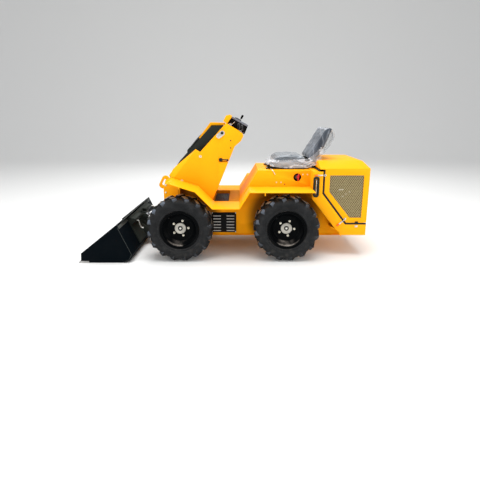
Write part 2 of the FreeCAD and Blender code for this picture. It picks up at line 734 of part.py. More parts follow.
def cylinder_pair(name, foot, eye, barrel, rod, foot_half):
    """A hydraulic cylinder between two pins: (radius, length) of its barrel, (radius, start) of its rod."""
    foot_x, foot_z = float(foot[0]), float(foot[1])
    reach = math.hypot(float(eye[0]) - foot_x, float(eye[1]) - foot_z)
    lean = math.degrees(math.atan2(float(eye[0]) - foot_x, float(eye[1]) - foot_z))
    turn = FreeCAD.Placement(V(foot_x, 0, foot_z), FreeCAD.Rotation(V(0, 1, 0), lean))
    eye_radius, eye_half, wide = float(S.eye_radius), float(S.eye_half), float(foot_half)
    barrel_radius, barrel_length = float(barrel[0]), float(barrel[1])
    rod_radius, rod_start = float(rod[0]), float(rod[1])
    bore_start, head_length, root = float(S.bore_start), 34, eye_radius * 0.6
    tube = Part.makeCylinder(barrel_radius, barrel_length - root, V(0, 0, root))
    hollow = Part.makeCylinder(rod_radius + float(S.running_gap), barrel_length, V(0, 0, bore_start))
    head = Part.makeCylinder(barrel_radius + 4, head_length, V(0, 0, barrel_length - head_length))
    lower_eye = Part.makeCylinder(eye_radius, 2 * wide, V(0, -wide, 0), V(0, 1, 0))
    bore_radius = float(S.eye_pin_radius) + 0.05
    lower_bore = Part.makeCylinder(bore_radius, 2 * wide + 2, V(0, -wide - 1, 0), V(0, 1, 0))
    shell = document.addObject("Part::Feature", name + "_barrel_turned")
    shell.Shape = tube.fuse([head, lower_eye]).cut([hollow, lower_bore]).removeSplitter()
    shell.Placement = turn
    bar = Part.makeCylinder(rod_radius, reach - eye_radius * 0.8 - rod_start, V(0, 0, rod_start))
    upper_eye = Part.makeCylinder(eye_radius, 2 * eye_half, V(0, -eye_half, reach), V(0, 1, 0))
    plunger = document.addObject("Part::Feature", name + "_rod_turned")
    plunger.Shape = bar.fuse(upper_eye).removeSplitter()
    plunger.Placement = turn
    keep(name + "_barrel", shell)
    keep(name + "_rod", plunger)


def build_cylinders():
    """Lift and tilt cylinders and the lift cylinder's foot bracket."""
    cylinder_pair("lift", (S.lift_foot_x, S.lift_foot_z), (S.lift_eye_x, S.lift_eye_z),
                  (S.lift_barrel_radius, S.lift_barrel_length), (S.lift_rod_radius, S.lift_rod_start),
                  lift_foot_half)
    cylinder_pair("tilt", (S.tilt_foot_x, S.tilt_foot_z), (S.tilt_eye_x, S.tilt_eye_z),
                  (S.tilt_barrel_radius, S.tilt_barrel_length), (S.tilt_rod_radius, S.tilt_rod_start),
                  tilt_foot_half)
    gap = lift_foot_half + S.eye_side_gap
    ear = [
        (S.bulkhead_x + S.side_plate, S.lift_foot_z - 70),
        (S.lift_foot_x, S.lift_foot_z - 30),
        (S.lift_foot_x + 30, S.lift_foot_z),
        (S.lift_foot_x, S.lift_foot_z + 26),
        (S.lift_foot_x - 60, S.lift_foot_z + 20),
        (S.bulkhead_x + S.side_plate, S.lift_foot_z - 10),
    ]
    pieces = [cylinder("lift_foot_pin", S.eye_pin_radius, -gap - 22, gap + 22, S.lift_foot_x, S.lift_foot_z)]
    for side, sign in SIDES:
        outer = gap + S.side_plate if sign > 0 else -gap
        pieces.append(side_plate("lift_ear_" + side, ear, S.side_plate, outer))
    keep("lift_foot_bracket", joined("lift_foot_welded", pieces))


def build_hitch():
    """Quick hitch behind the bucket: plate, cross tubes, pivot ears and tilt lever."""
    lean_x, lean_z = S.bucket_top_x - S.bucket_rear_x, S.bucket_top_z - S.bucket_rear_z

    def on_back(share, out):
        """A point at a share of the bucket's back, a distance behind it."""
        foot_x, foot_z = S.bucket_rear_x + lean_x * share, S.bucket_rear_z + lean_z * share
        return (foot_x + out * 0.915, foot_z + out * 0.403)

    plate = side_body("hitch_plate_sheet", [on_back(0.06, 0), on_back(0.96, 0), on_back(0.96, S.hitch_plate),
                                            on_back(0.06, S.hitch_plate)], S.hitch_half)
    pieces = [plate]
    rail = [on_back(0.97, 0), on_back(1.0, 36), on_back(0.88, 40), on_back(0.80, S.hitch_plate - 1),
            on_back(0.80, 0)]
    pieces.append(side_body("hitch_top_rail", rail, S.hitch_half))
    ear = [
        on_back(0.10, S.hitch_plate - 1),
        (S.hitch_x + 10, S.hitch_z - 34),
        (S.hitch_x + 34, S.hitch_z - 8),
        (S.hitch_x + 32, S.hitch_z + 18),
        (S.hitch_x + 4, S.hitch_z + 36),
        on_back(0.62, S.hitch_plate - 1),
    ]
    lever = [on_back(0.55, S.hitch_plate - 1), (S.tilt_eye_x + 10, S.tilt_eye_z - 28),
             (S.tilt_eye_x + 30, S.tilt_eye_z), (S.tilt_eye_x + 12, S.tilt_eye_z + 28),
             on_back(0.93, S.hitch_plate - 1)]
    ear_y = S.boom_half + 8
    lever_y = S.eye_half + S.eye_side_gap
    for side, sign in SIDES:
        outer = ear_y + S.hitch_plate if sign > 0 else -ear_y
        pieces.append(side_plate("hitch_ear_" + side, ear, S.hitch_plate, outer))
        outer = lever_y + S.hitch_plate if sign > 0 else -lever_y
        pieces.append(side_plate("tilt_lever_" + side, lever, S.hitch_plate, outer))
        far = lever_y + S.hitch_plate + 5
        span = (lever_y, far) if sign > 0 else (-far, -lever_y)
        pieces.append(cylinder("tilt_eye_head_" + side, S.eye_pin_radius + 5, span[0], span[1],
                               S.tilt_eye_x, S.tilt_eye_z))
    reach = ear_y + S.hitch_plate + 6
    pieces.append(cylinder("hitch_pin", S.hitch_pin_radius, -reach, reach, S.hitch_x, S.hitch_z))
    keep("quick_hitch", joined("quick_hitch_welded", pieces))


def build_bucket():
    """Open bucket shell with its sides, the cutting edge and the spill guard."""
    wall = S.bucket_sheet
    outline = [
        (S.bucket_tip_x + 95, 0),
        (S.bucket_heel_x, 0),
        (S.bucket_heel_x + 42, 20),
        (S.bucket_rear_x, S.bucket_rear_z),
        (S.bucket_top_x, S.bucket_top_z),
        (S.bucket_top_x - 12, S.bucket_top_z + 9),
        (S.bucket_tip_x + 30, 86),
        (S.bucket_tip_x + 24, S.edge_gauge + 3),
        (S.bucket_tip_x + 24, S.edge_gauge),
        (S.bucket_tip_x + 95, S.edge_gauge),
    ]
    inside = [
        (S.bucket_tip_x - 20, wall),
        (S.bucket_heel_x - wall * 0.3, wall),
        (S.bucket_heel_x + 38, 20 + wall * 0.8),
        (S.bucket_rear_x - wall * 1.1, S.bucket_rear_z + wall * 0.4),
        (S.bucket_top_x - wall * 1.1, S.bucket_top_z - 1),
        (S.bucket_top_x - 60, S.bucket_top_z + 60),
        (S.bucket_tip_x - 20, S.bucket_top_z + 60),
    ]
    shell = side_body("bucket_sheets", outline, S.bucket_half, cuts=[(inside, S.bucket_half - S.bucket_side)])
    keep("bucket_shell", shell)
    edge = [
        (S.bucket_tip_x, 0),
        (S.bucket_tip_x + S.edge_depth, 0),
        (S.bucket_tip_x + S.edge_depth, S.edge_gauge),
        (S.bucket_tip_x + 24, S.edge_gauge),
        (S.bucket_tip_x, 3),
    ]
    keep("cutting_edge", side_body("cutting_edge_bar", edge, S.bucket_half))
    guard = [
        (S.bucket_top_x, S.bucket_top_z),
        (S.bucket_top_x + 30, S.bucket_top_z + 34),
        (S.bucket_top_x + 25, S.bucket_top_z + 38),
        (S.bucket_top_x - 5, S.bucket_top_z + 3.75),
    ]
    keep("spill_guard", side_body("spill_guard_bar", guard, S.spill_half))


def build_seat_box():
    """Hollow seat box over the batteries, with the switch hole in its left side."""
    rise = S.deck_z - S.floor_z
    outline = [
        (S.floor_rear_x, S.floor_z),
        (S.seat_front_x, S.deck_z),
        (S.rear_front_x, S.deck_z),
        (S.rear_front_x, S.fender_rear_z),
        (S.deck_front_x, S.fender_rear_z),
    ]
    inside = [
        (S.floor_rear_x + S.sheet * 2.6, S.floor_z - 20),
        (S.seat_front_x + S.sheet * 0.6, S.deck_z - S.sheet),
        (S.rear_front_x - S.sheet, S.deck_z - S.sheet),
        (S.rear_front_x - S.sheet, S.floor_z - 20),
    ]
    box_body = side_body("seat_box_sheets", outline, S.frame_half, cuts=[(inside, inner_half)])
    hole = cylinder("switch_hole", 36, -S.frame_half - 5, S.side_plate - S.frame_half + 5,
                    S.rear_front_x - 120, S.deck_z - 63)
    keep("seat_box", cut("seat_box_cut", box_body, hole))
    switch = [
        cylinder("switch_base", 33, S.side_plate - S.frame_half - 3, S.side_plate - S.frame_half + 20,
                 S.rear_front_x - 120, S.deck_z - 63),
        box("switch_key", (S.rear_front_x - 127, -S.frame_half - 6, S.deck_z - 90),
            (S.rear_front_x - 113, S.side_plate - S.frame_half - 3, S.deck_z - 36)),
        box("switch_carrier", (S.rear_front_x - 165, S.side_plate - S.frame_half + 18, S.deck_z - 110),
            (S.rear_front_x - S.sheet, S.side_plate - S.frame_half + 22, S.deck_z - 20)),
    ]
    keep("battery_switch", joined("battery_switch_unit", switch))


def build_seat():
    """Seat pan, cushion and backrest as plain solids of the right size."""
    pan = [
        (S.seat_front_x + 143, S.deck_z),
        (S.seat_front_x + 143, S.deck_z + 28),
        (S.seat_front_x + 446, S.deck_z + 28),
        (S.seat_front_x + 478, S.deck_z + 87.7),
        (S.seat_front_x + 509, S.deck_z + 83.6),
        (S.seat_front_x + 513, S.deck_z + 72),
        (S.seat_front_x + 479, S.deck_z + 55),
        (S.seat_front_x + 448, S.deck_z),
    ]
    keep("seat_pan", side_body("seat_pan_sheet", pan, S.seat_half - 30))
    cushion = [
        (S.seat_front_x + 135, S.deck_z + 50),
        (S.seat_front_x + 143, S.deck_z + 93),
        (S.seat_front_x + 183, S.deck_z + 118),
        (S.seat_front_x + 303, S.deck_z + 125),
        (S.seat_front_x + 423, S.deck_z + 115),
        (S.seat_front_x + 441, S.deck_z + 111),
        (S.seat_front_x + 448, S.deck_z + 75),
        (S.seat_front_x + 441, S.deck_z + 28.3),
        (S.seat_front_x + 151, S.deck_z + 28.3),
    ]
    keep("seat_cushion", side_body("seat_cushion_pad", cushion, S.seat_half))
    back = [
        (S.seat_front_x + 455, S.deck_z + 91),
        (S.seat_front_x + 628, S.deck_z + 375),
        (S.seat_front_x + 648, S.deck_z + 385),
        (S.seat_front_x + 678, S.deck_z + 373),
        (S.seat_front_x + 608, S.deck_z + 210),
        (S.seat_front_x + 561, S.deck_z + 130),
        (S.seat_front_x + 515, S.deck_z + 83),
    ]
    keep("seat_backrest", side_body("seat_backrest_pad", back, S.seat_half))


def build_rear():
    """Rear section: skirted engine tray, engine, seam seal, latches and grab bars."""
    half = S.seam_half
    outline = [
        (S.rear_front_x, S.seam_top_z - half),
        (S.seam_x - half, S.seam_top_z - half),
        (S.seam_x - half, S.seam_knee_z - half * 0.34),
        (S.seam_foot_x - half * 0.49, S.seam_low_z - half),
        (S.rear_end_x, S.seam_low_z - half),
        (S.rear_end_x, S.rear_bottom_z),
        (S.skirt_low_x, S.rear_bottom_z),
        (S.skirt_mid_x, S.skirt_mid_z),
        (S.rear_front_x, S.skirt_z),
    ]
    skin = S.hood_skin
    inside = [
        (S.rear_front_x + skin, S.seam_top_z - half - skin),
        (S.hood_front_x + skin, S.seam_top_z - half - skin),
        (S.hood_front_x + skin, S.seam_top_z + 20),
        (S.rear_end_x + skin * -1, S.seam_top_z + 20),
        (S.rear_end_x + skin * -1, S.rear_bottom_z + skin),
        (S.skirt_low_x + skin * 0.6, S.rear_bottom_z + skin),
        (S.skirt_mid_x + skin, S.skirt_mid_z + skin * 0.6),
        (S.rear_front_x + skin, S.skirt_z + skin * 0.4),
    ]
    pieces = [side_body("rear_frame_sheets", outline, S.rear_half, cuts=[(inside, S.rear_half - skin)])]
    axis_x, axis_z = S.rear_end_x + S.hinge_gap, S.seam_low_z
    for side, sign in SIDES:
        middle = S.hinge_y * sign
        for place, low, high in (("inner", middle - 48, middle - 20 - S.running_gap),
                                 ("outer", middle + 20 + S.running_gap, middle + 48)):
            name = "frame_hinge_%s_%s" % (place, side)
            pieces.append(cylinder(name, S.hinge_radius, low, high, axis_x, axis_z))
            pieces.append(box(name + "_leaf", (S.rear_end_x, low, axis_z - 45),
                              (S.rear_end_x + S.hinge_leaf, high, axis_z)))
        pieces.append(cylinder("hood_hinge_pin_" + side, S.hinge_pin_radius, middle - 48, middle + 48,
                               axis_x, axis_z))
    keep("rear_frame", joined("rear_frame_welded", pieces))
    engine = box("engine_box", (S.skirt_mid_x + 14, -190, S.rear_bottom_z + 90),
                 (S.rear_end_x - 60, 190, S.seam_top_z - 80))
    feet = []
    for index, x in enumerate((S.skirt_low_x + 20, S.rear_end_x - 120)):
        feet.append(box("engine_foot_%d" % index, (x, -150, S.rear_bottom_z + skin),
                        (x + 40, 150, S.rear_bottom_z + 91)))
    keep("engine", joined("engine_on_feet", [engine] + feet))
    seals = []
    for side, sign in SIDES:
        line = [
            (S.seam_x - S.seal_gauge / 2, S.seam_top_z - 1),
            (S.seam_x - S.seal_gauge / 2, S.seam_knee_z - S.seal_gauge * 0.17),
            (S.seam_foot_x - S.seal_gauge * 0.245, S.seam_low_z - half),
            (S.rear_end_x, S.seam_low_z - half),
        ]
        low, high = (S.rear_half - skin, S.rear_half) if sign > 0 else (-S.rear_half, skin - S.rear_half)
        seals.append(fold("seal_" + side, line, S.seal_gauge, low, high))
    keep("hood_seal", group("hood_seal_pair", seals))
    latches = []
    bars = []
    for side, sign in SIDES:
        low, high = (S.rear_half, S.rear_half + 12) if sign > 0 else (-S.rear_half - 12, -S.rear_half)
        places = (
            ("upper", S.seam_x - 62, S.seam_top_z - 40),
            ("lower", S.skirt_low_x - 38, S.seam_low_z + 8),
        )
        for place, x, z in places:
            latches.append(box("latch_%s_%s" % (place, side), (x, low, z - 9), (x + 50, high, z + 9)))
        low, high = (S.rear_half, S.rear_half + 26) if sign > 0 else (-S.rear_half - 26, -S.rear_half)
        bars.append(box("grab_bar_" + side, (S.rear_front_x + 6, low, S.skirt_z + 20),
                        (S.rear_front_x + 26, high, S.seam_top_z - 70)))
    keep("hood_latches", group("hood_latch_set", latches))
    keep("grab_bars", group("grab_bar_pair", bars))


def build_hood():
    """Engine hood: chamfered shell, open grille windows, side grilles and hinge knuckles."""
    half = S.seam_half
    side_view = [
        (S.hood_front_x, S.seam_top_z + half),
        (S.hood_front_x, S.hood_top_z - 14),
        (S.hood_front_x + 12, S.hood_top_z),
        (S.hood_slope_x, S.hood_top_z),
        (S.rear_end_x, S.hood_shoulder_z),
        (S.rear_end_x, S.seam_low_z + half),
        (S.seam_foot_x + half * 0.49, S.seam_low_z + half),
        (S.seam_x + half, S.seam_knee_z + half * 0.34),
        (S.seam_x + half, S.seam_top_z + half),
    ]
    skin = S.hood_skin
    inner_view = [
        (S.hood_front_x + skin, S.seam_low_z - 60),
        (S.hood_front_x + skin, S.hood_top_z - 16),
        (S.hood_front_x + 14, S.hood_top_z - skin),
        (S.hood_slope_x - 2, S.hood_top_z - skin),
        (S.rear_end_x - skin, S.hood_shoulder_z - 3),
        (S.rear_end_x - skin, S.seam_low_z - 60),
    ]

    def end_view(inset):
        """Front view of the hood with its chamfered shoulders, smaller by inset."""
        outer, flat = S.rear_half - inset, S.hood_flat_half - inset * 0.4
        top, shoulder = S.hood_top_z - inset, S.hood_shoulder_z - inset * 0.65
        return [(-outer, 100), (outer, 100), (outer, shoulder), (flat, top), (-flat, top), (-outer, shoulder)]

    reach = (S.hood_front_x - 10, S.rear_end_x + 10)
    outside = common("hood_outside", prism("hood_side_view", side_view, S.rear_half + 10),
                     prism("hood_end_view", end_view(as_size(0)), reach, "X"))
    inside = common("hood_inside", prism("hood_inner_side", inner_view, S.rear_half + 10),
                    prism("hood_inner_end", end_view(skin), reach, "X"))
    shell = cut("hood_shell_plain", outside, inside)
    front, back = S.seam_x + 52, S.rear_end_x - 50
    window = [
        (front, S.seam_top_z - 42),
        (back, S.seam_top_z - 42),
        (back, S.seam_low_z + 55),
        (S.seam_foot_x + 32, S.seam_low_z + 55),
        (front, S.seam_knee_z + 14),
    ]
    opening = prism("hood_window", window, S.rear_half + 10)
    pieces = [cut("hood_open", shell, opening)]
    axis_x, axis_z = S.rear_end_x + S.hinge_gap, S.seam_low_z
    for side, sign in SIDES:
        low, high = S.hinge_y * sign - 20, S.hinge_y * sign + 20
        knuckle = cylinder("hood_knuckle_" + side, S.hinge_radius, low, high, axis_x, axis_z)
        leaf = box("hood_leaf_" + side, (S.rear_end_x, low, axis_z),
                   (S.rear_end_x + S.hinge_leaf, high, axis_z + 50))
        bore = cylinder("hood_hinge_bore_" + side, S.hinge_pin_radius + S.running_gap, low - 1, high + 1,
                        axis_x, axis_z)
        pieces.append(cut("hood_hinge_" + side, joined("hood_hinge_blank_" + side, [knuckle, leaf]), bore))
    keep("hood", joined("hood_welded", pieces))
    build_grilles(window)


def build_grilles(window):
    """Diamond mesh plates behind the hood's side windows."""
    pitch, wire = float(S.grille_pitch), float(S.grille_wire)
    corners = [V(float(x), 0, float(z)) for x, z in window]
    middle = sum(corners, V(0, 0, 0)) * (1.0 / len(corners))
    gauge = float(S.grille_gauge)
    rim = 10.0
    outer = [corner + (corner - middle).normalize() * rim for corner in corners]
    outer[0], outer[1] = corners[0] + V(-rim, 0, rim), corners[1] + V(rim, 0, rim)
    outer[2] = corners[2] + V(rim, 0, -rim)
    plate = Part.Face(Part.makePolygon(outer + outer[:1])).extrude(V(0, gauge, 0))
    field = Part.Face(Part.makePolygon(corners + corners[:1])).extrude(V(0, gauge, 0))
    edge = Part.Face(Part.makePolygon(corners + corners[:1]))
    reach = pitch / 2 - wire / 2
    low_x, high_x = min(c.x for c in corners), max(c.x for c in corners)
    low_z, high_z = min(c.z for c in corners), max(c.z for c in corners)
    holes = []
    rows = int((high_z - low_z) / (pitch / 2)) + 1
    for row in range(rows + 1):
        z = low_z + row * pitch / 2
        x = low_x + (pitch / 2 if row % 2 else 0)
        while x <= high_x:
            tips = [V(x - reach, 0, z), V(x, 0, z - reach), V(x + reach, 0, z), V(x, 0, z + reach)]
            if all(edge.isInside(tip, 0.01, True) for tip in tips):
                holes.append(Part.Face(Part.makePolygon(tips + tips[:1])).extrude(V(0, gauge, 0)))
            x += pitch
    mesh = plate.cut(holes)
    for side, sign in SIDES:
        grille = document.addObject("Part::Feature", "hood_mesh_" + side)
        grille.Shape = mesh.copy()
        y = float(S.rear_half - S.hood_skin) - gauge if sign > 0 else -float(S.rear_half - S.hood_skin)
        grille.Placement = FreeCAD.Placement(V(0, y, 0), FreeCAD.Rotation())
        keep("hood_grille_" + side, grille)


def build_small_parts():
    """Louvre panels between the wheels and the tie-down lugs at the nose."""
    panels = []
    for side, sign in SIDES:
        outer = S.frame_half + 3 if sign > 0 else -S.frame_half
        front, rear = S.floor_front_x - 30, S.floor_front_x + 200
        low, high = S.frame_bottom_z + 19, S.floor_z - 102
        corners = [(front, low), (rear, low), (rear, high), (front, high)]
        slots = []
        for column in range(2):
            for row in range(6):
                x = front + 22 + column * 100
                z = low + 20 + row * 27
                slots.append([(x, z), (x + 84, z), (x + 84, z + 11), (x, z + 11)])
        panels.append(side_plate("louvre_panel_" + side, corners, 3, outer, cuts=slots))
    keep("louvre_panels", group("louvre_panel_pair", panels))
    lugs = []
    front = S.front_axle_x - S.frame_front
    lug = [
        (front - 6, S.nose_z + 12),
        (front - 46, S.nose_z + 36),
        (front - 16, S.nose_z + 100),
        (front + 8, S.nose_z + 112),
        (front + 46, S.nose_z + 106),
        (front + 40, S.nose_z + 60),
        (front + 14, S.nose_z - 10),
    ]
    slot = [
        (front - 26, S.nose_z + 42),
        (front - 4, S.nose_z + 32),
        (front + 18, S.nose_z + 76),
        (front - 4, S.nose_z + 86),
    ]
    for side, sign in SIDES:
        outer = inner_half if sign > 0 else 12 - inner_half
        lugs.append(side_plate("tie_down_lug_" + side, lug, 12, outer, cuts=[slot]))
    keep("tie_down_lugs", group("tie_down_pair", lugs))


def build_tyre():
    """One lugged tyre about the Y axis."""
    body = document.addObject("PartDesign::Body", "tyre_pattern")
    half, rim_half = S.tyre_width / 2, S.rim_width / 2
    bead = S.bead_radius
    upper = [
        (bead, rim_half - S.rim_wall - 1),
        (S.rim_radius + 1.5, rim_half - S.rim_wall - 1),
        (S.rim_radius + 5, rim_half + 3),
        (S.rim_radius + 34, half),
        (S.carcass_radius - 34, half),
        (S.carcass_radius - 6, half - 16),
        (S.carcass_radius, half - 34),
    ]
    profile = upper + [(radius, -across) for radius, across in reversed(upper)]
    sketch = body_sketch(body, "carcass_profile", "XY_Plane", profile)
    carcass = body.newObject("PartDesign::Revolution", "carcass")
    carcass.Profile = sketch
    carcass.ReferenceAxis = (sketch, ["V_Axis"])
    carcass.Angle = 360
    shift = float(S.lug_shift)
    skew = math.atan2(2 * shift, float(half))
    spill = float(S.lug_width) / 2 * math.sin(skew)
    near, far = [distance / math.cos(skew) for distance in (spill + 2, float(half) - spill - 0.1)]
    foot, top = S.carcass_radius - S.lug_reach, S.tyre_diameter / 2 - S.lug_droop
    for side, sign in SIDES:
        lug_side = [
            (near * sign, foot),
            (near * sign, top),
            ((far - 20) * sign, top),
            (far * sign, top - 24),
            (far * sign, foot),
        ]
        outline = body_sketch(body, "lug_outline_" + side, "YZ_Plane", lug_side)
        stagger = 0 if sign > 0 else 180 / float(S.lug_count)
        about_axle = FreeCAD.Placement(V(0, 0, 0), FreeCAD.Rotation(V(1, 0, 0), stagger))
        skewed = FreeCAD.Placement(V(0, 0, -shift), FreeCAD.Rotation(V(0, 1, 0), -sign * math.degrees(skew)))
        outline.AttachmentOffset = about_axle.multiply(skewed)
        lug = pad(body, "lug_" + side, outline, S.lug_width, midplane=True)
        pattern = body.newObject("PartDesign::PolarPattern", "lugs_" + side)
        pattern.Originals = [lug]
        pattern.Axis = (origin_plane(body, "Y_Axis"), [""])
        pattern.Angle = 360
        bind(pattern, "Occurrences", S.lug_count)
        body.Tip = pattern
    return body


def build_rim():
    """One dished wheel about the Y axis, its outer face towards +Y, with hub, studs and shaft."""
    edge = S.rim_width / 2
    wall = S.rim_wall
    flange, bead, disc = S.rim_radius, S.bead_radius, S.disc_radius
    seat = bead - 0.5
    shaft_end = S.tyre_width / 2 + S.tyre_gap - 3
    back = S.disc_face - S.disc_plate
    profile = [
        (0, S.disc_face + S.hub_rise),
        (S.hub_radius, S.disc_face + S.hub_rise),
        (S.hub_radius, S.disc_face),
        (disc, S.disc_face),
        (bead - wall, edge - 36),
        (bead - wall, edge - wall),
        (flange - wall, edge),
        (flange, edge),
        (flange, edge - wall),
        (seat, edge - wall),
        (seat, edge - 40),
        (disc + 16, 30),
        (disc + 16, -48),
        (seat, -48),
        (seat, wall - edge),
        (flange, wall - edge),
        (flange, -edge),
        (bead - wall, -edge),
        (bead - wall, -48 - wall),
        (disc + 16 - wall, -48 - wall),
        (disc + 16 - wall, back),
        (S.hub_radius, back),
        (S.hub_radius, -28),
        (S.shaft_radius, -28),
        (S.shaft_radius, -shaft_end),
        (0, -shaft_end),
    ]
    body = document.addObject("PartDesign::Body", "rim_pattern")
    sketch = body_sketch(body, "rim_profile", "XY_Plane", profile)
    turned = body.newObject("PartDesign::Revolution", "rim_turned")
    turned.Profile = sketch
    turned.ReferenceAxis = (sketch, ["V_Axis"])
    turned.Angle = 360
    stud_sketch = body_sketch(body, "stud_outline", "XZ_Plane", circles=[(S.stud_circle / 2, 0, 6)])
    bind(stud_sketch, "AttachmentOffset.Base.z", -back)
    stud = pad(body, "stud", stud_sketch, S.disc_plate + S.stud_length, reverse=True)
    studs = body.newObject("PartDesign::PolarPattern", "studs")
    studs.Originals = [stud]
    studs.Axis = (origin_plane(body, "Y_Axis"), [""])
    studs.Angle = 360
    studs.Occurrences = 5
    body.Tip = studs
    return body


def build_wheels():
    """Four wheels: the same tyre and rim, the left ones turned to face out."""
    tyre, rim = build_tyre(), build_rim()
    document.recompute()
    for end, x in ENDS:
        for side, sign in SIDES:
            turn = FreeCAD.Rotation(V(1, 0, 0), 0 if sign > 0 else 180)
            place = FreeCAD.Placement(V(float(x), sign * float(wheel_y), float(axle_z)), turn)
            upright = FreeCAD.Placement(place.Base, FreeCAD.Rotation())
            keep("tyre_%s_%s" % (end, side), placed_copy("tyre_copy_%s_%s" % (end, side), tyre, upright))
            keep("rim_%s_%s" % (end, side), placed_copy("rim_copy_%s_%s" % (end, side), rim, place))


build_frame()
build_motors()
build_fenders()
build_footwell()
build_tower()
build_console()
build_boom()
build_cylinders()
build_hitch()
build_bucket()
build_seat_box()
build_seat()
build_rear()
build_hood()
build_small_parts()
build_wheels()
document.recompute()

failed = [item.Name for item in document.Objects if {"Invalid", "Error"} & set(item.State)]
for label, item in parts.items():
    if item.Shape.isNull() or not item.Shape.isValid():
        failed.append(label)
if failed:
    raise RuntimeError("these did not build: " + ", ".join(failed))

os.makedirs("parts", exist_ok=True)
for label, item in parts.items():
    item.Shape.exportStep(os.path.join("parts", label + ".step"))
    print("%-20s %7.2f litres %d solids" % (label, item.Shape.Volume / 1e6, len(item.Shape.Solids)))
print(len(parts), "sub-parts")
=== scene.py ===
"""Looks for a compact ride-on skid steer loader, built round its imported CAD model."""

from __future__ import annotations

import json
import logging
import math
from dataclasses import dataclass, replace
from enum import Enum

import bmesh
import bpy
from mathutils import Matrix, Vector, noise

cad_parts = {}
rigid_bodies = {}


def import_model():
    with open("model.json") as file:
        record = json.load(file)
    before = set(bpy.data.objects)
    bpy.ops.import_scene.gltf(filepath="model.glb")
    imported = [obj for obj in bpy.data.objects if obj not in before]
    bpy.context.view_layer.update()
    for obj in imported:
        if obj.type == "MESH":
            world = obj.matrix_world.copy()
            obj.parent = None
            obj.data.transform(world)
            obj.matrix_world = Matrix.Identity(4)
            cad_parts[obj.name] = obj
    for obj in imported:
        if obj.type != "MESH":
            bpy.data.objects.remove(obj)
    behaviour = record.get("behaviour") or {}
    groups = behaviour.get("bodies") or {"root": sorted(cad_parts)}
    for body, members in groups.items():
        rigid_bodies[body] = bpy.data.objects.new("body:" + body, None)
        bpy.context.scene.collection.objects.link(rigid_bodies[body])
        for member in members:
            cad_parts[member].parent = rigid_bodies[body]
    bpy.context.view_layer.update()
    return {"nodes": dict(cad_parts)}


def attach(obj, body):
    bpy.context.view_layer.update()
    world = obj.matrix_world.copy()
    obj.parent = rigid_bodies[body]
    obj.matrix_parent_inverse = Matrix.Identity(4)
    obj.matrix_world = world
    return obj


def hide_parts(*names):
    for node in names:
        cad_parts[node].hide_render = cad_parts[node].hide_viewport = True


for leftover in list(bpy.data.objects):
    bpy.data.objects.remove(leftover)
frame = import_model()

log = logging.getLogger("skid_steer_loader")

SIDES = (("left", -1), ("right", 1))
WHEELS = (("front", -0.394, 0.02), ("rear", 0.542, -0.09))
AXLE_HEIGHT = 0.290
WHEEL_ACROSS = 0.443
# Size and place of the painted shade in the wheel wells
WELL_REACH = 0.330
WELL_LIFT = 0.040
WELL_START = -0.420
FRAME_HALF = 0.275
REAR_HALF = 0.397


class Axis(Enum):
    """Main directions of the machine's frame."""

    X = Vector((1, 0, 0))
    Y = Vector((0, 1, 0))
    Z = Vector((0, 0, 1))


# Shader maths


class Wave:
    """A node's output, with Python's arithmetic for numbers."""

    def __init__(self, graph: Graph, socket: bpy.types.NodeSocket) -> None:
        """Wraps one output socket of a graph."""
        self.graph = graph
        self.socket = socket

    def _math(self, operation: str, *values: Wave | float) -> Wave:
        """A Math node on numbers."""
        return self.graph.node("ShaderNodeMath", {"operation": operation}, dict(enumerate(values)))

    def __add__(self, other: Wave | float) -> Wave:
        """Sum."""
        return self._math("ADD", self, other)

    def __radd__(self, other: float) -> Wave:
        """Sum with a plain number first."""
        return self._math("ADD", other, self)

    def __sub__(self, other: Wave | float) -> Wave:
        """Difference."""
        return self._math("SUBTRACT", self, other)

    def __rsub__(self, other: float) -> Wave:
        """Difference from a plain number."""
        return self._math("SUBTRACT", other, self)

    def __mul__(self, other: Wave | float) -> Wave:
        """Product."""
        return self._math("MULTIPLY", self, other)

    def __rmul__(self, other: float) -> Wave:
        """Product with a plain number first."""
        return self._math("MULTIPLY", other, self)

    def __pow__(self, power: float) -> Wave:
        """Power of a number that isn't negative."""
        return self._math("POWER", self, power)

    def __abs__(self) -> Wave:
        """Size without its sign."""
        return self._math("ABSOLUTE", self)

    def between(self, low: float, high: float) -> Wave:
        """A smooth step from 0 at low to 1 at high."""
        settings = {"interpolation_type": "SMOOTHSTEP"}
        values = {"Value": self, "From Min": low, "From Max": high}
        return self.graph.node("ShaderNodeMapRange", settings, values)


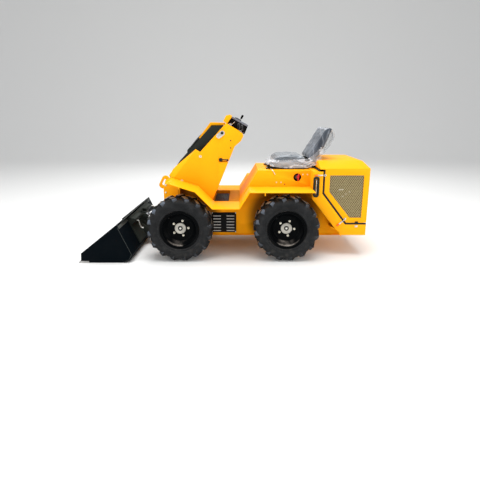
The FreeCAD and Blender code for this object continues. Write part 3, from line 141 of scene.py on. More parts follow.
class Graph:
    """The node tree of one material."""

    def __init__(self, name: str) -> None:
        """Makes an empty material.

        Args:
            name: The material's name.
        """
        self.material = bpy.data.materials.new(name)
        self.material.use_nodes = True
        self.tree = self.material.node_tree
        self.tree.nodes.clear()

    def node(self, kind: str, settings: dict | None = None, values: dict | None = None,
             output: str | int = 0) -> Wave:
        """Adds a node.

        Args:
            kind: The node's type.
            settings: Its properties, set first; stops are a colour ramp's.
            values: What its input sockets hold or are linked to.
            output: The output that is returned.

        Returns:
            The chosen output.
        """
        made = self.tree.nodes.new(kind)
        for key, setting in (settings or {}).items():
            if key == "stops":
                self._fill_ramp(made.color_ramp, setting)
            else:
                setattr(made, key, setting)
        for key, value in (values or {}).items():
            if isinstance(value, Wave):
                self.tree.links.new(value.socket, made.inputs[key])
            elif value is not None:
                made.inputs[key].default_value = value
        return Wave(self, made.outputs[output])

    @staticmethod
    def _fill_ramp(ramp: bpy.types.ColorRamp, stops: tuple) -> None:
        """Gives a colour ramp its stops, each (position, colour)."""
        while len(ramp.elements) < len(stops):
            ramp.elements.new(1.0)
        for element, (position, shade) in zip(ramp.elements, stops):
            element.position = position
            element.color = (*shade, 1.0)

    def place(self, scale: tuple = (1, 1, 1), turn: tuple = (0, 0, 0)) -> Wave:
        """Object coordinates, stretched and turned.

        Args:
            scale: How often the pattern repeats along each direction.
            turn: Its rotation in degrees.

        Returns:
            The vector.
        """
        spot = self.node("ShaderNodeTexCoord", output="Object")
        angles = tuple(math.radians(angle) for angle in turn)
        return self.node("ShaderNodeMapping", None, {"Vector": spot, "Rotation": angles, "Scale": scale})

    def height(self) -> Wave:
        """Height above the ground, in metres."""
        return self.node("ShaderNodeSeparateXYZ", None, {0: self.place()}, "Z")

    def wheel_well_shade_mask(self) -> Wave:
        """Mask of the painted shade in the wheel wells: 1 on side faces close to either axle, and 0 away from the
        wheels.
        """
        spot = self.place()
        x, z = (self.node("ShaderNodeSeparateXYZ", None, {0: spot}, side) for side in ("X", "Z"))
        ahead, behind = (where for _, where, _ in WHEELS)
        along = abs(abs(x - (ahead + behind) / 2) - (behind - ahead) / 2)
        rise = z - (AXLE_HEIGHT + WELL_LIFT)
        near = 1 - ((along ** 2 + rise ** 2) ** 0.5).between(WELL_REACH - 0.06, WELL_REACH + 0.05)
        behind_nose = x.between(WELL_START - 0.03, WELL_START)
        normal = self.node("ShaderNodeNewGeometry", output="Normal")
        sideways = abs(self.node("ShaderNodeSeparateXYZ", None, {0: normal}, "Y")).between(0.6, 0.95)
        return near * behind_nose * sideways

    def upward(self) -> Wave:
        """How far a surface faces up, from -1 to 1."""
        normal = self.node("ShaderNodeNewGeometry", output="Normal")
        return self.node("ShaderNodeSeparateXYZ", None, {0: normal}, "Z")

    def cloud(self, scale: float, detail: float = 3, rough: float = 0.55, spot: Wave | None = None) -> Wave:
        """Soft noise from 0 to 1.

        Args:
            scale: Blobs per metre.
            detail: Octaves.
            rough: Strength of the finer octaves.
            spot: Its coordinates, if not plain object ones.

        Returns:
            The number.
        """
        values = {"Vector": spot or self.place(), "Scale": scale, "Detail": detail, "Roughness": rough}
        return self.node("ShaderNodeTexNoise", None, values)

    def cells(self, scale: float, spot: Wave | None = None) -> Wave:
        """Distance to the nearest of scattered points."""
        values = {"Vector": spot or self.place(), "Scale": scale}
        return self.node("ShaderNodeTexVoronoi", {"feature": "F1"}, values)

    def blend(self, share: Wave | float, first: Wave | tuple, second: Wave | tuple) -> Wave:
        """One colour fading into another.

        Args:
            share: How much of the second shows.
            first: A colour.
            second: A colour.

        Returns:
            The colour.
        """
        first, second = (c if isinstance(c, Wave) else (*c, 1.0) for c in (first, second))
        settings = {"data_type": "RGBA", "clamp_factor": True}
        return self.node("ShaderNodeMix", settings, {0: share, 6: first, 7: second}, 2)

    def bump(self, height: Wave, depth: float, strength: float = 1.0) -> Wave:
        """A normal from a height.

        Args:
            height: A number from 0 to 1.
            depth: What 1 stands for, in metres.
            strength: Share of the effect.

        Returns:
            The normal.
        """
        return self.node("ShaderNodeBump", None, {"Height": height, "Distance": depth, "Strength": strength})

    def surface(self, **inputs: Wave | float | tuple) -> None:
        """Ends the tree in one surface; an input's name is written with underscores."""
        values = {key.replace("_", " "): value for key, value in inputs.items()}
        for key in ("Base Color", "Sheen Tint", "Emission Color"):
            if isinstance(values.get(key), tuple):
                values[key] = (*values[key], 1.0)
        shader = self.node("ShaderNodeBsdfPrincipled", None, values)
        self.node_output(shader)

    def node_output(self, shader: Wave) -> None:
        """Links a shader to the material's output."""
        made = self.tree.nodes.new("ShaderNodeOutputMaterial")
        self.tree.links.new(shader.socket, made.inputs["Surface"])


# Finishes


@dataclass(frozen=True)
class Finish:
    """A surface finish; its material is made once."""

    name: str

    def dress(self, graph: Graph) -> None:
        """Fills the material's node tree."""
        raise NotImplementedError

    def material(self) -> bpy.types.Material:
        """The finish's material."""
        found = bpy.data.materials.get(self.name)
        if found is None:
            graph = Graph(self.name)
            self.dress(graph)
            found = graph.material
        return found


@dataclass(frozen=True)
class Paint(Finish):
    """Sprayed paint on sheet steel, with road dust low down and on what faces up."""

    colour: tuple
    rough: float = 0.34
    coat: float = 0.12
    shine: float = 0.3
    dust: tuple = (0.42, 0.37, 0.29)
    dust_share: float = 0.35
    scuff: tuple = (0.30, 0.28, 0.25)
    scuff_share: float = 0.0
    low_dust: float = 0.6
    flat_dust: float = 0.35
    # Strength of the painted shade in the wheel wells, standing in for the fenders' shadow
    well_painted_shade: float = 0.0

    def dress(self, graph: Graph) -> None:
        """Paint, its slow colour drift, dust, painted shade in the wheel wells, fine scratches and orange peel."""
        drift = graph.cloud(2.6, 4)
        darker = tuple(channel * 0.88 for channel in self.colour)
        shade = graph.blend(drift.between(0.3, 0.75) * 0.6, self.colour, darker)
        patches = graph.cloud(9, 5, 0.65).between(0.42, 0.74)
        low = 1 - graph.height().between(0.05, 0.50)
        flat = graph.upward().between(0.55, 0.98)
        dirt = patches * (low * self.low_dust + flat * self.flat_dust) * self.dust_share
        shade = graph.blend(dirt, shade, self.dust)
        # Painted shade: side faces round the wheels turn dark brown, as in the fenders' shadow
        if self.well_painted_shade:
            shade = graph.blend(graph.wheel_well_shade_mask() * self.well_painted_shade, shade, (0.075, 0.026, 0.002))
        streaks = graph.cloud(26, 4, 0.6, graph.place((1, 3, 9), (0, 28, 0))).between(0.66, 0.78)
        marks = streaks * graph.cloud(5, 2).between(0.5, 0.7) * self.scuff_share
        shade = graph.blend(marks, shade, self.scuff)
        rough = dirt * 0.45 + marks * 0.25 + graph.cloud(30, 2) * 0.10 + (self.rough - 0.05)
        peel = graph.bump(graph.cloud(420, 2, 0.4), 0.0002, 0.35)
        graph.surface(Base_Color=shade, Roughness=rough, Coat_Weight=self.coat, Coat_Roughness=0.12,
                      Specular_IOR_Level=self.shine, Normal=peel)


@dataclass(frozen=True)
class Steel(Finish):
    """Bare metal with a brushed or turned grain."""

    colour: tuple
    rough: float = 0.3
    grain: tuple = (1, 60, 1)
    rust: float = 0.0

    def dress(self, graph: Graph) -> None:
        """Metal, its grain and a breath of rust."""
        lines = graph.cloud(14, 3, 0.6, graph.place(self.grain))
        dull = tuple(channel * 0.72 for channel in self.colour)
        shade = graph.blend(lines.between(0.35, 0.7), self.colour, dull)
        spots = graph.cloud(38, 5, 0.7).between(0.58, 0.72) * self.rust
        shade = graph.blend(spots, shade, (0.16, 0.075, 0.03))
        graph.surface(Base_Color=shade, Metallic=1 - spots * 0.8, Roughness=lines * 0.22 + spots * 0.3 + self.rough,
                      Normal=graph.bump(lines, 0.0002, 0.3))


@dataclass(frozen=True)
class Rubber(Finish):
    """Black rubber with dust in its low places."""

    colour: tuple = (0.009, 0.0095, 0.0105)
    bloom: tuple = (0.020, 0.021, 0.024)
    rough: float = 0.62
    dusty: float = 0.2
    shine: float = 0.3
    # Colour of what faces up: dust, and on the lug ends a painted sky reflection
    upward_dust_and_reflection: tuple = (0.02, 0.02, 0.02)

    def dress(self, graph: Graph) -> None:
        """Rubber, its bloom and dust, and a paler colour on what faces up: dust, and on the lug ends a painted sky
        reflection.
        """
        bloom = graph.cloud(11, 5, 0.65).between(0.35, 0.8)
        shade = graph.blend(bloom * 0.7, self.colour, self.bloom)
        # Painted sky reflection and dust: what faces up takes the paler upward colour
        shade = graph.blend(graph.upward().between(-0.10, 1.0) * (bloom * 0.4 + 0.6), shade, self.upward_dust_and_reflection)
        low = 1 - graph.height().between(0.0, 0.5)
        dust = graph.cloud(24, 5, 0.7).between(0.45, 0.75) * (low * 0.6 + 0.25) * self.dusty
        shade = graph.blend(dust, shade, (0.19, 0.17, 0.145))
        grit = graph.bump(graph.cloud(260, 3, 0.6), 0.0004, 0.5)
        graph.surface(Base_Color=shade, Roughness=bloom * 0.12 + dust * 0.3 + self.rough,
                      Specular_IOR_Level=self.shine, Normal=grit)


@dataclass(frozen=True)
class Plastic(Finish):
    """Moulded plastic with a fine grain."""

    colour: tuple
    rough: float = 0.45
    grain: float = 0.4
    shine: float = 0.5

    def dress(self, graph: Graph) -> None:
        """Plastic and its moulded grain."""
        drift = graph.cloud(8, 3)
        paler = tuple(min(1.0, channel * 1.25 + 0.004) for channel in self.colour)
        shade = graph.blend(drift.between(0.3, 0.8), self.colour, paler)
        pores = graph.cells(900)
        graph.surface(Base_Color=shade, Roughness=drift * 0.12 + self.rough, Specular_IOR_Level=self.shine,
                      Normal=graph.bump(pores, 0.0002, self.grain))


@dataclass(frozen=True)
class WrappedVinyl(Finish):
    """Grey vinyl seen through crinkled clear film, with trapped air and painted highlights along its creases and on
    what faces up.
    """

    vinyl: tuple = (0.042, 0.052, 0.063)
    haze: tuple = (0.27, 0.295, 0.320)
    along: tuple = (1, 0.35, 1)
    turn: tuple = (0, 0, 0)
    # How much paler the haze is on what faces up: a painted highlight
    top: float = 0.35

    def dress(self, graph: Graph) -> None:
        """Vinyl under film: soft haze, with painted highlights on what faces up and along its long creases."""
        spot = graph.place(self.along, self.turn)
        air = graph.cloud(4.0, 3, 0.5, spot).between(0.36, 0.70)
        folds = graph.cloud(10, 3, 0.5, spot)
        # Painted highlights: the haze is paler along the creases and on what faces up
        crease = 1 - self._ridge(folds).between(0.0, 0.045)
        sky = graph.upward().between(0.1, 0.95)
        veil = air * 0.28 + crease * 0.50 + sky * self.top + 0.05
        shade = graph.blend(veil, self.vinyl, self.haze)
        relief = folds * 0.8 + graph.cloud(30, 3, 0.5, spot) * 0.12
        graph.surface(Base_Color=shade, Roughness=0.34 - crease * 0.12, Coat_Weight=0.35, Coat_Roughness=0.2,
                      Specular_IOR_Level=0.2, Normal=graph.bump(relief, 0.012, 0.8))

    @staticmethod
    def _ridge(pattern: Wave) -> Wave:
        """Distance of a noise from its middle value."""
        return abs(pattern - 0.5)


@dataclass(frozen=True)
class Film(Finish):
    """Loose clear film, seen only by its haze and the painted highlights along its creases."""

    haze: tuple = (0.66, 0.69, 0.74)
    least: float = 0.12

    def dress(self, graph: Graph) -> None:
        """Film that is nearly clear between its creases, which carry a painted highlight."""
        spot = graph.place((0.6, 1, 1.5), (0, 24, 0))
        folds = graph.cloud(11, 4, 0.55, spot)
        # Painted highlight: the pale film grows more opaque along its creases
        crease = 1 - WrappedVinyl._ridge(folds).between(0.0, 0.05)
        veil = crease * 0.55 + graph.cloud(6, 3, 0.6, spot).between(0.3, 0.7) * 0.35 + self.least
        graph.surface(Base_Color=self.haze, Alpha=veil, Roughness=0.2, Coat_Weight=0.5,
                      Normal=graph.bump(folds, 0.01, 0.7))


YELLOW = Paint("sprayed_yellow", (1.0, 0.415, 0.006), 0.44, 0.0, 0.05, (0.40, 0.30, 0.12), 0.08)
# The frame's paint is a touch more orange than the body's yellow and dark brown in its wheel wells: both are painted
# shade
YELLOW_FRAME = replace(YELLOW, name="yellow_frame_paint", colour=(1.0, 0.395, 0.002), well_painted_shade=0.85)
YELLOW_FLOOR = Paint("yellow_floor_paint", (0.52, 0.215, 0.003), 0.55, 0.0, 0.02, (0.25, 0.135, 0.036), 1.2,
                     (0.17, 0.09, 0.03), 0.35)
BLACK = Paint("sprayed_black", (0.026, 0.030, 0.026), 0.42, 0.0, 0.03, (0.10, 0.095, 0.085), 0.04,
              (0.05, 0.05, 0.052), 0.20)
BUCKET_BLACK = Paint("bucket_paint", (0.0024, 0.0040, 0.0055), 0.44, 0.0, 0.008, (0.09, 0.085, 0.08), 0.02,
                     (0.07, 0.07, 0.075), 0.25)
RIM_BLACK = Paint("rim_paint", (0.0012, 0.0016, 0.0020), 0.36, 0.0, 0.03, (0.34, 0.300, 0.264), 1.4, low_dust=0.0,
                  flat_dust=1.0)
WORN_BLACK = Paint("worn_black_paint", (0.060, 0.066, 0.062), 0.50, 0.0, 0.10, (0.14, 0.14, 0.13), 0.4,
                   (0.02, 0.02, 0.02), 0.4)
BRIGHT = Steel("bright_zinc", (0.74, 0.73, 0.68), 0.26)
HUB_STEEL = Steel("turned_hub", (0.50, 0.48, 0.43), 0.34, (1, 1, 1), rust=0.10)
NUT_ZINC = Steel("yellow_zinc", (0.90, 0.82, 0.60), 0.30)
EDGE_STEEL = Steel("cutting_edge_steel", (0.36, 0.35, 0.34), 0.42, (1, 9, 1), rust=0.25)
ROD_CHROME = Steel("polished_chrome", (0.78, 0.78, 0.80), 0.10, (1, 1, 40))
MESH_GREY = Paint("mesh_paint", (0.44, 0.36, 0.19), 0.5, 0.0, 0.2, dust_share=0.3)
MESH_BACK = Plastic("mesh_backing", (0.072, 0.050, 0.016), 0.9, 0.3, 0.1)
TYRE_RUBBER = Rubber("tyre_rubber", (0.0075, 0.0080, 0.0088), (0.026, 0.027, 0.029), 0.66, 0.16, 0.14)
LUG_TOP = Rubber("lug_top_rubber", (0.014, 0.013, 0.012), (0.030, 0.026, 0.022), 0.7, 0.5, 0.2, (0.40, 0.335, 0.26))
# The lug ends' bluish-grey colour on what faces up is a painted sky reflection
LUG_END = Rubber("lug_end_rubber", (0.010, 0.011, 0.013), (0.022, 0.025, 0.031), 0.46, 0.1, 0.3, (0.135, 0.165, 0.215))
SEAL_RUBBER = Rubber("seal_rubber", (0.004, 0.004, 0.004), (0.009, 0.009, 0.009), 0.5, 0.05)
MAT_RUBBER = Rubber("mat_rubber", (0.020, 0.021, 0.021), (0.035, 0.034, 0.032), 0.66, 0.5)
HOSE_RUBBER = Rubber("hose_rubber", (0.006, 0.006, 0.007), (0.012, 0.012, 0.013), 0.36, 0.1, 0.5)
BLACK_PLASTIC = Plastic("moulded_black", (0.0028, 0.0028, 0.0026), 0.46, 0.4, 0.03)
GREY_PLASTIC = Plastic("grey_plastic", (0.055, 0.056, 0.060), 0.38, 0.3)
RED_PLASTIC = Plastic("moulded_red", (0.46, 0.006, 0.012), 0.22, 0.15)
ORANGE_PLASTIC = Plastic("orange_plastic", (0.85, 0.12, 0.01), 0.3, 0.15)
LOUVRE_LIP = Paint("louvre_paint", (0.44, 0.44, 0.42), 0.36, 0.0, 0.5, dust_share=0.2)
LOUVRE_BLACK = Paint("louvre_black", (0.005, 0.0055, 0.0055), 0.42, 0.0, 0.06, dust_share=0.08)
PLATE_EDGE = Paint("console_plate", (0.150, 0.165, 0.200), 0.36, 0.0, 0.4, dust_share=0.1)
ENGINE_GREY = Paint("engine_paint", (0.02, 0.02, 0.02), rough=0.5, coat=0.0, dust_share=0.3)
SEAT_CUSHION = WrappedVinyl("wrapped_cushion", along=(0.7, 0.6, 2.0))
SEAT_BACK = WrappedVinyl("wrapped_back", (0.018, 0.024, 0.036), (0.24, 0.27, 0.315), (2.6, 0.8, 0.45), (0, 28, 0), 0.2)
FILM = Film("clear_film")


# Shapes


class Shape:
    """A mesh that grows piece by piece, each made with mesh operators."""

    def __init__(self, *finishes: Finish) -> None:
        """Starts an empty mesh.

        Args:
            finishes: The finishes that its faces may take, by number.
        """
        self.finishes = finishes
        self.mesh = bmesh.new()

    def add(self, piece: bmesh.types.BMesh, finish: int | None = 0, matrix: Matrix | None = None,
            keep: bool = False) -> None:
        """Takes a piece in, and frees it unless it is kept for more copies.

        Args:
            piece: The piece.
            finish: Number of its finish, or None where its faces have theirs.
            matrix: Where it goes.
            keep: Whether the piece is used again.
        """
        for face in piece.faces:
            face.smooth = True
            if finish is not None:
                face.material_index = finish
        scrap = bpy.data.meshes.new("scrap")
        piece.to_mesh(scrap)
        if matrix is not None:
            scrap.transform(matrix)
        self.mesh.from_mesh(scrap)
        bpy.data.meshes.remove(scrap)
        if not keep:
            piece.free()

    def box(self, low: tuple, high: tuple, finish: int = 0, bevel: float = 0.0, segments: int = 2,
            matrix: Matrix | None = None) -> None:
        """A box between two corners, with rounded edges."""
        self.add(box_mesh(low, high, bevel, segments), finish, matrix)

    def rod(self, start: tuple, end: tuple, radius: float, finish: int = 0, bevel: float = 0.0,
            sides: int = 24, top: float | None = None) -> None:
        """A round bar or cone between two points."""
        self.add(rod_mesh(radius, (Vector(end) - Vector(start)).length, bevel, sides, top), finish,
                 stand(start, end))

    def plate(self, outline: list, low: float, high: float, finish: int = 0, bevel: float = 0.0,
              segments: int = 2, axis: Axis = Axis.Y) -> None:
        """A flat plate from its outline, between two places along an axis."""
        self.add(plate_mesh(outline, low, high, bevel, segments, axis), finish)

    def finish(self, name: str, body: str, slot: str | None = None, sharp: float = 32,
               replaces: tuple = ()) -> bpy.types.Object:
        """Turns the mesh into a piece of the machine.

        Args:
            name: The piece's name.
            body: The body that it rides on.
            slot: The record's material slot; not used.
            sharp: Edges that turn by more degrees stay sharp.
            replaces: CAD nodes that it stands for.

        Returns:
            The object.
        """
        data = bpy.data.meshes.new(name)
        self.mesh.to_mesh(data)
        self.mesh.free()
        for finish in self.finishes:
            data.materials.append(finish.material())
        data.set_sharp_from_angle(angle=math.radians(sharp))
        made = bpy.data.objects.new(name, data)
        bpy.context.scene.collection.objects.link(made)
        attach(made, body)
        if replaces:
            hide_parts(*replaces)
        log.info("%s: %d faces", name, len(data.polygons))
        return made


def stand(start: tuple, end: tuple) -> Matrix:
    """A placement that lays the Z axis from start towards end."""
    way = Vector(end) - Vector(start)
    return Matrix.Translation(Vector(start)) @ way.to_track_quat("Z", "Y").to_matrix().to_4x4()


def round_edges(piece: bmesh.types.BMesh, width: float, segments: int = 2, turn: float = 25) -> None:
    """Bevels the edges that turn by more than an angle.

    Args:
        piece: The mesh.
        width: Width of the bevel in metres.
        segments: Strips across it.
        turn: The angle in degrees.
    """
    if width <= 0:
        return
    sharp = [edge for edge in piece.edges
             if len(edge.link_faces) == 2 and edge.calc_face_angle(0) > math.radians(turn)]
    bmesh.ops.bevel(piece, geom=sharp, offset=width, offset_type="OFFSET", segments=segments, profile=0.5,
                    affect="EDGES", material=-1, clamp_overlap=True)


def box_mesh(low: tuple, high: tuple, bevel: float = 0.0, segments: int = 2) -> bmesh.types.BMesh:
    """A box between two corners."""
    piece = bmesh.new()
    bmesh.ops.create_cube(piece, size=1)
    low, high = Vector(low), Vector(high)
    bmesh.ops.scale(piece, vec=high - low, verts=piece.verts)
    bmesh.ops.translate(piece, vec=(low + high) / 2, verts=piece.verts)
    round_edges(piece, bevel, segments)
    return piece


def rod_mesh(radius: float, length: float, bevel: float = 0.0, sides: int = 24,
             top: float | None = None) -> bmesh.types.BMesh:
    """A bar or cone that stands on the origin along Z."""
    piece = bmesh.new()
    bmesh.ops.create_cone(piece, cap_ends=True, segments=sides, radius1=radius,
                          radius2=radius if top is None else top, depth=length)
    bmesh.ops.translate(piece, vec=(0, 0, length / 2), verts=piece.verts)
    round_edges(piece, bevel, 2, 50)
    return piece


def plate_mesh(outline: list, low: float, high: float, bevel: float = 0.0, segments: int = 2,
               axis: Axis = Axis.Y) -> bmesh.types.BMesh:
    """A plate from an outline of pairs, extruded along an axis."""
    piece = bmesh.new()
    spots = {
        Axis.X: lambda a, b: (low, a, b),
        Axis.Y: lambda a, b: (a, low, b),
        Axis.Z: lambda a, b: (a, b, low),
    }
    corners = [piece.verts.new(spots[axis](a, b)) for a, b in outline]
    face = piece.faces.new(corners)
    grown = bmesh.ops.extrude_face_region(piece, geom=[face])
    moved = [item for item in grown["geom"] if isinstance(item, bmesh.types.BMVert)]
    bmesh.ops.translate(piece, vec=axis.value * (high - low), verts=moved)
    bmesh.ops.recalc_face_normals(piece, faces=piece.faces)
    round_edges(piece, bevel, segments)
    return piece


def turned_mesh(profile: list, steps: int = 96, closed: bool = True) -> bmesh.types.BMesh:
    """A turned form about Y from a profile of (radius, across).

    Args:
        profile: Corners of the section, in metres.
        steps: Facets round the axis.
        closed: Whether the profile returns to its first corner.

    Returns:
        The mesh.
    """
    piece = bmesh.new()
    corners = [piece.verts.new((radius, across, 0)) for radius, across in profile]
    pairs = list(zip(corners, corners[1:] + corners[:1])) if closed else list(zip(corners, corners[1:]))
    edges = [piece.edges.new(pair) for pair in pairs]
    bmesh.ops.spin(piece, geom=corners + edges, cent=(0, 0, 0), axis=(0, 1, 0), angle=math.tau, steps=steps,
                   use_merge=True)
    bmesh.ops.remove_doubles(piece, verts=piece.verts, dist=1e-6)
    bmesh.ops.recalc_face_normals(piece, faces=piece.faces)
    return piece


def bent_mesh(route: list, radius: float, corner: float, sides: int = 12, steps: int = 5) -> bmesh.types.BMesh:
    """A round bar along straight runs joined by round corners.

    Args:
        route: Its points, the corners unrounded.
        radius: Half the bar's thickness.
        corner: Radius of its middle line at the corners.
        sides: Facets round the bar.
        steps: Facets along a corner.

    Returns:
        The mesh.
    """
    piece = bmesh.new()
    route = [Vector(point) for point in route]
    bmesh.ops.create_circle(piece, segments=sides, radius=radius)
    bmesh.ops.transform(piece, matrix=stand(route[0], route[1]), verts=piece.verts)
    rim, spot = list(piece.edges), route[0]
    for start, end, after in zip(route, route[1:], route[2:] + [None]):
        way = (end - start).normalized()
        turn = way.angle(after - end) if after else 0.0
        trim = corner * math.tan(turn / 2)
        grown = bmesh.ops.extrude_edge_only(piece, edges=rim)["geom"]
        rim = [item for item in grown if isinstance(item, bmesh.types.BMEdge)]
        moved = [item for item in grown if isinstance(item, bmesh.types.BMVert)]
        bmesh.ops.translate(piece, vec=end - way * trim - spot, verts=moved)
        spot = end - way * trim
        if turn > 0.01:
            hinge = way.cross(after - end).normalized()
            spun = bmesh.ops.spin(piece, geom=rim, cent=spot + hinge.cross(way) * corner, axis=hinge,
                                  angle=turn, steps=steps)
            rim = [item for item in spun["geom_last"] if isinstance(item, bmesh.types.BMEdge)]
            spot = end + (after - end).normalized() * trim
    bmesh.ops.holes_fill(piece, edges=piece.edges, sides=0)
    bmesh.ops.recalc_face_normals(piece, faces=piece.faces)
    return piece


def softened(node: str, body: str, finish: Finish, slot: str, width: float = 0.0016,
             segments: int = 2) -> bpy.types.Object:
    """A rigid CAD node's own form with its edges eased, in its place.

    Args:
        node: The CAD node.
        body: The body that it belongs to.
        finish: Its finish.
        slot: The record's material slot; not used.
        width: Width of the eased edges in metres.
        segments: Strips across them.

    Returns:
        The piece.
    """
    piece = bmesh.new()
    piece.from_mesh(frame["nodes"][node].data)
    bmesh.ops.remove_doubles(piece, verts=piece.verts, dist=1e-5)
    bmesh.ops.dissolve_limit(piece, angle_limit=math.radians(0.6), verts=piece.verts, edges=piece.edges)
    round_edges(piece, width, segments, 30)
    shape = Shape(finish)
    shape.add(piece)
    return shape.finish(node + "_eased", body, slot, replaces=(node,))


def paint_node(node: str, finish: Finish) -> None:
    """Gives a CAD node that stays its material."""
    data = frame["nodes"][node].data
    data.materials.clear()
    data.materials.append(finish.material())


# Wheels


@dataclass
class Wheel:
    """One wheel: lugged tyre, dished rim, hub and nuts."""

    end: str
    side: str
    middle: Vector
    outward: int
    tyre_half: float = 0.108
    carcass: float = 0.268
    lug_top: float = 0.2872
    lug_reach: float = 0.032
    lug_count: int = 16
    lug_width: float = 0.045
    lug_shift: float = 0.031
    stud_circle: float = 0.06985
    first_nut: float = 0.0

    @property
    def body(self) -> str:
        """The body that it rides on."""
        return f"wheel_{self.end}_{self.side}"

    def rolled(self, about: float = 0.0) -> Matrix:
        """From a tyre at the origin to its place, turned about the axle."""
        return Matrix.Translation(self.middle) @ Matrix.Rotation(about, 4, "Y")

    def placed(self, about: float = 0.0) -> Matrix:
        """From a rim that faces +Y to its place on the machine."""
        face_out = Matrix.Rotation(0 if self.outward > 0 else math.pi, 4, "X")
        return Matrix.Translation(self.middle) @ face_out @ Matrix.Rotation(about, 4, "Y")

    def lug(self) -> bmesh.types.BMesh:
        """One bar of the tread with its shoulder end, at the top of the tyre."""
        half = self.tyre_half
        skew = math.atan2(2 * self.lug_shift, half)
        spill = self.lug_width / 2 * math.sin(skew)
        near, far = (spill + 0.002) / math.cos(skew), (half - spill - 0.0001) / math.cos(skew)
        foot = self.carcass - self.lug_reach
        top = self.lug_top
        outline = [(near, foot + 0.012), (near, top), (far - 0.022, top), (far - 0.010, top - 0.006),
                   (far - 0.001, top - 0.020), (far, top - 0.032), (far - 0.0015, foot + 0.002), (far - 0.008, foot)]
        piece = plate_mesh(outline, -self.lug_width / 2, self.lug_width / 2, axis=Axis.X)
        for vert in piece.verts:
            lift = (vert.co.z - foot) / (top - foot)
            vert.co.x *= (1.10 - 0.22 * lift) * (0.80 if lift < 0.08 else 1.0)
        round_edges(piece, 0.0035, 2, 30)
        # Tops take the dusty lug rubber; shoulder ends take the rubber with a painted sky reflection on what faces up
        for face in piece.faces:
            middle = face.calc_center_median()
            face.material_index = 1 if middle.z > top - 0.002 else 2 if middle.y > far - 0.016 else 0
        turn = Matrix.Rotation(-skew, 4, "Z")
        bmesh.ops.transform(piece, matrix=Matrix.Translation((-self.lug_shift, 0, 0)) @ turn, verts=piece.verts)
        return piece

    def build_tyre(self) -> None:
        """Carcass with its sidewall rings, and the lugs on both halves."""
        half = [(0.1535, 0.086), (0.1725, 0.0865), (0.1745, 0.0955), (0.180, 0.1005), (0.187, 0.1005),
                (0.1905, 0.0985), (0.197, 0.1030), (0.2070, 0.1062), (0.2085, 0.1050), (0.2105, 0.1050),
                (0.2120, 0.1068), (0.2280, 0.1076), (0.2400, 0.1062), (0.2510, 0.1020), (0.2610, 0.0940),
                (0.2680, 0.0830), (0.2705, 0.0730), (0.271, 0.040)]
        profile = half + [(radius, -across) for radius, across in reversed(half)]
        shape = Shape(TYRE_RUBBER, LUG_TOP, LUG_END)
        shape.add(turned_mesh(profile, 144), 0, self.rolled())
        lug = self.lug()
        mirrored = lug.copy()
        bmesh.ops.scale(mirrored, vec=(1, -1, 1), verts=mirrored.verts)
        bmesh.ops.reverse_faces(mirrored, faces=mirrored.faces)
        for number in range(self.lug_count):
            angle = math.tau * number / self.lug_count
            shape.add(lug, None, self.rolled(angle), keep=True)
            shape.add(mirrored, None, self.rolled(angle + math.pi / self.lug_count), keep=True)
        lug.free()
        mirrored.free()
        shape.finish(f"tyre_{self.end}_{self.side}_tread", self.body, "tyre", 40,
                     (f"tyre_{self.end}_{self.side}",))

    def build_rim(self) -> None:
        """Dished rim with rolled flanges, hub, centre bolt, five nuts and the valve."""
        profile = [(0.0, 0.028), (0.044, 0.028), (0.048, 0.026), (0.108, 0.026), (0.113, 0.0275),
                   (0.1185, 0.033), (0.136, 0.0555), (0.142, 0.0595), (0.1455, 0.064), (0.1458, 0.082),
                   (0.1485, 0.0865), (0.1570, 0.0885), (0.1640, 0.0925), (0.1675, 0.0950), (0.1705, 0.0940),
                   (0.1710, 0.0905), (0.1695, 0.0882), (0.1525, 0.0878), (0.1525, 0.056), (0.129, 0.032),
                   (0.128, -0.048), (0.1525, -0.049), (0.1525, -0.088), (0.171, -0.0882), (0.171, -0.095),
                   (0.146, -0.095), (0.146, -0.0555), (0.121, -0.055), (0.120, 0.018), (0.050, 0.018),
                   (0.050, -0.028), (0.025, -0.028), (0.025, -0.165), (0.0, -0.165)]
        shape = Shape(RIM_BLACK, HUB_STEEL, NUT_ZINC, BRIGHT, SEAL_RUBBER)
        shape.add(turned_mesh(profile, 96), 0, self.placed())
        hub = [(0.0, 0.0300), (0.0205, 0.0300), (0.0225, 0.0385), (0.0245, 0.0400), (0.0340, 0.0400),
               (0.0350, 0.0390), (0.0362, 0.0390), (0.0372, 0.0400), (0.0470, 0.0400), (0.0495, 0.0375),
               (0.050, 0.0255), (0.0, 0.0255)]
        shape.add(turned_mesh(hub, 64), 1, self.placed())
        shape.add(turned_mesh([(0.0, 0.0325), (0.0203, 0.0325), (0.0203, 0.0302), (0.0, 0.0302)], 48), 4,
                  self.placed())
        upright = Matrix.Rotation(-math.pi / 2, 4, "X")
        bolt = rod_mesh(0.0105, 0.0075, 0.0008, 6)
        shape.add(bolt, 3, self.placed() @ Matrix.Translation((0, 0.0320, 0)) @ upright)
        nut, stud = rod_mesh(0.0088, 0.0120, 0.0009, 6), rod_mesh(0.0050, 0.0172, 0.0008, 16)
        washer = rod_mesh(0.0102, 0.0018, 0.0005, 24)
        for number in range(5):
            angle = self.first_nut + math.tau * number / 5
            spot = Matrix.Rotation(angle, 4, "Y") @ Matrix.Translation((self.stud_circle, 0.0258, 0))
            for piece, finish in ((nut, 2), (stud, 3), (washer, 3)):
                shape.add(piece, finish, self.placed() @ spot @ upright, keep=True)
        for piece in (nut, stud, washer):
            piece.free()
        valve = Matrix.Rotation(2.3, 4, "Y") @ Matrix.Translation((0.1385, 0.057, 0))
        shape.add(rod_mesh(0.0042, 0.022, 0.0008, 12), 4, self.placed() @ valve @ upright)
        shape.finish(f"rim_{self.end}_{self.side}_dished", self.body, "rim_black", 30,
                     (f"rim_{self.end}_{self.side}",))


# Sheet metal

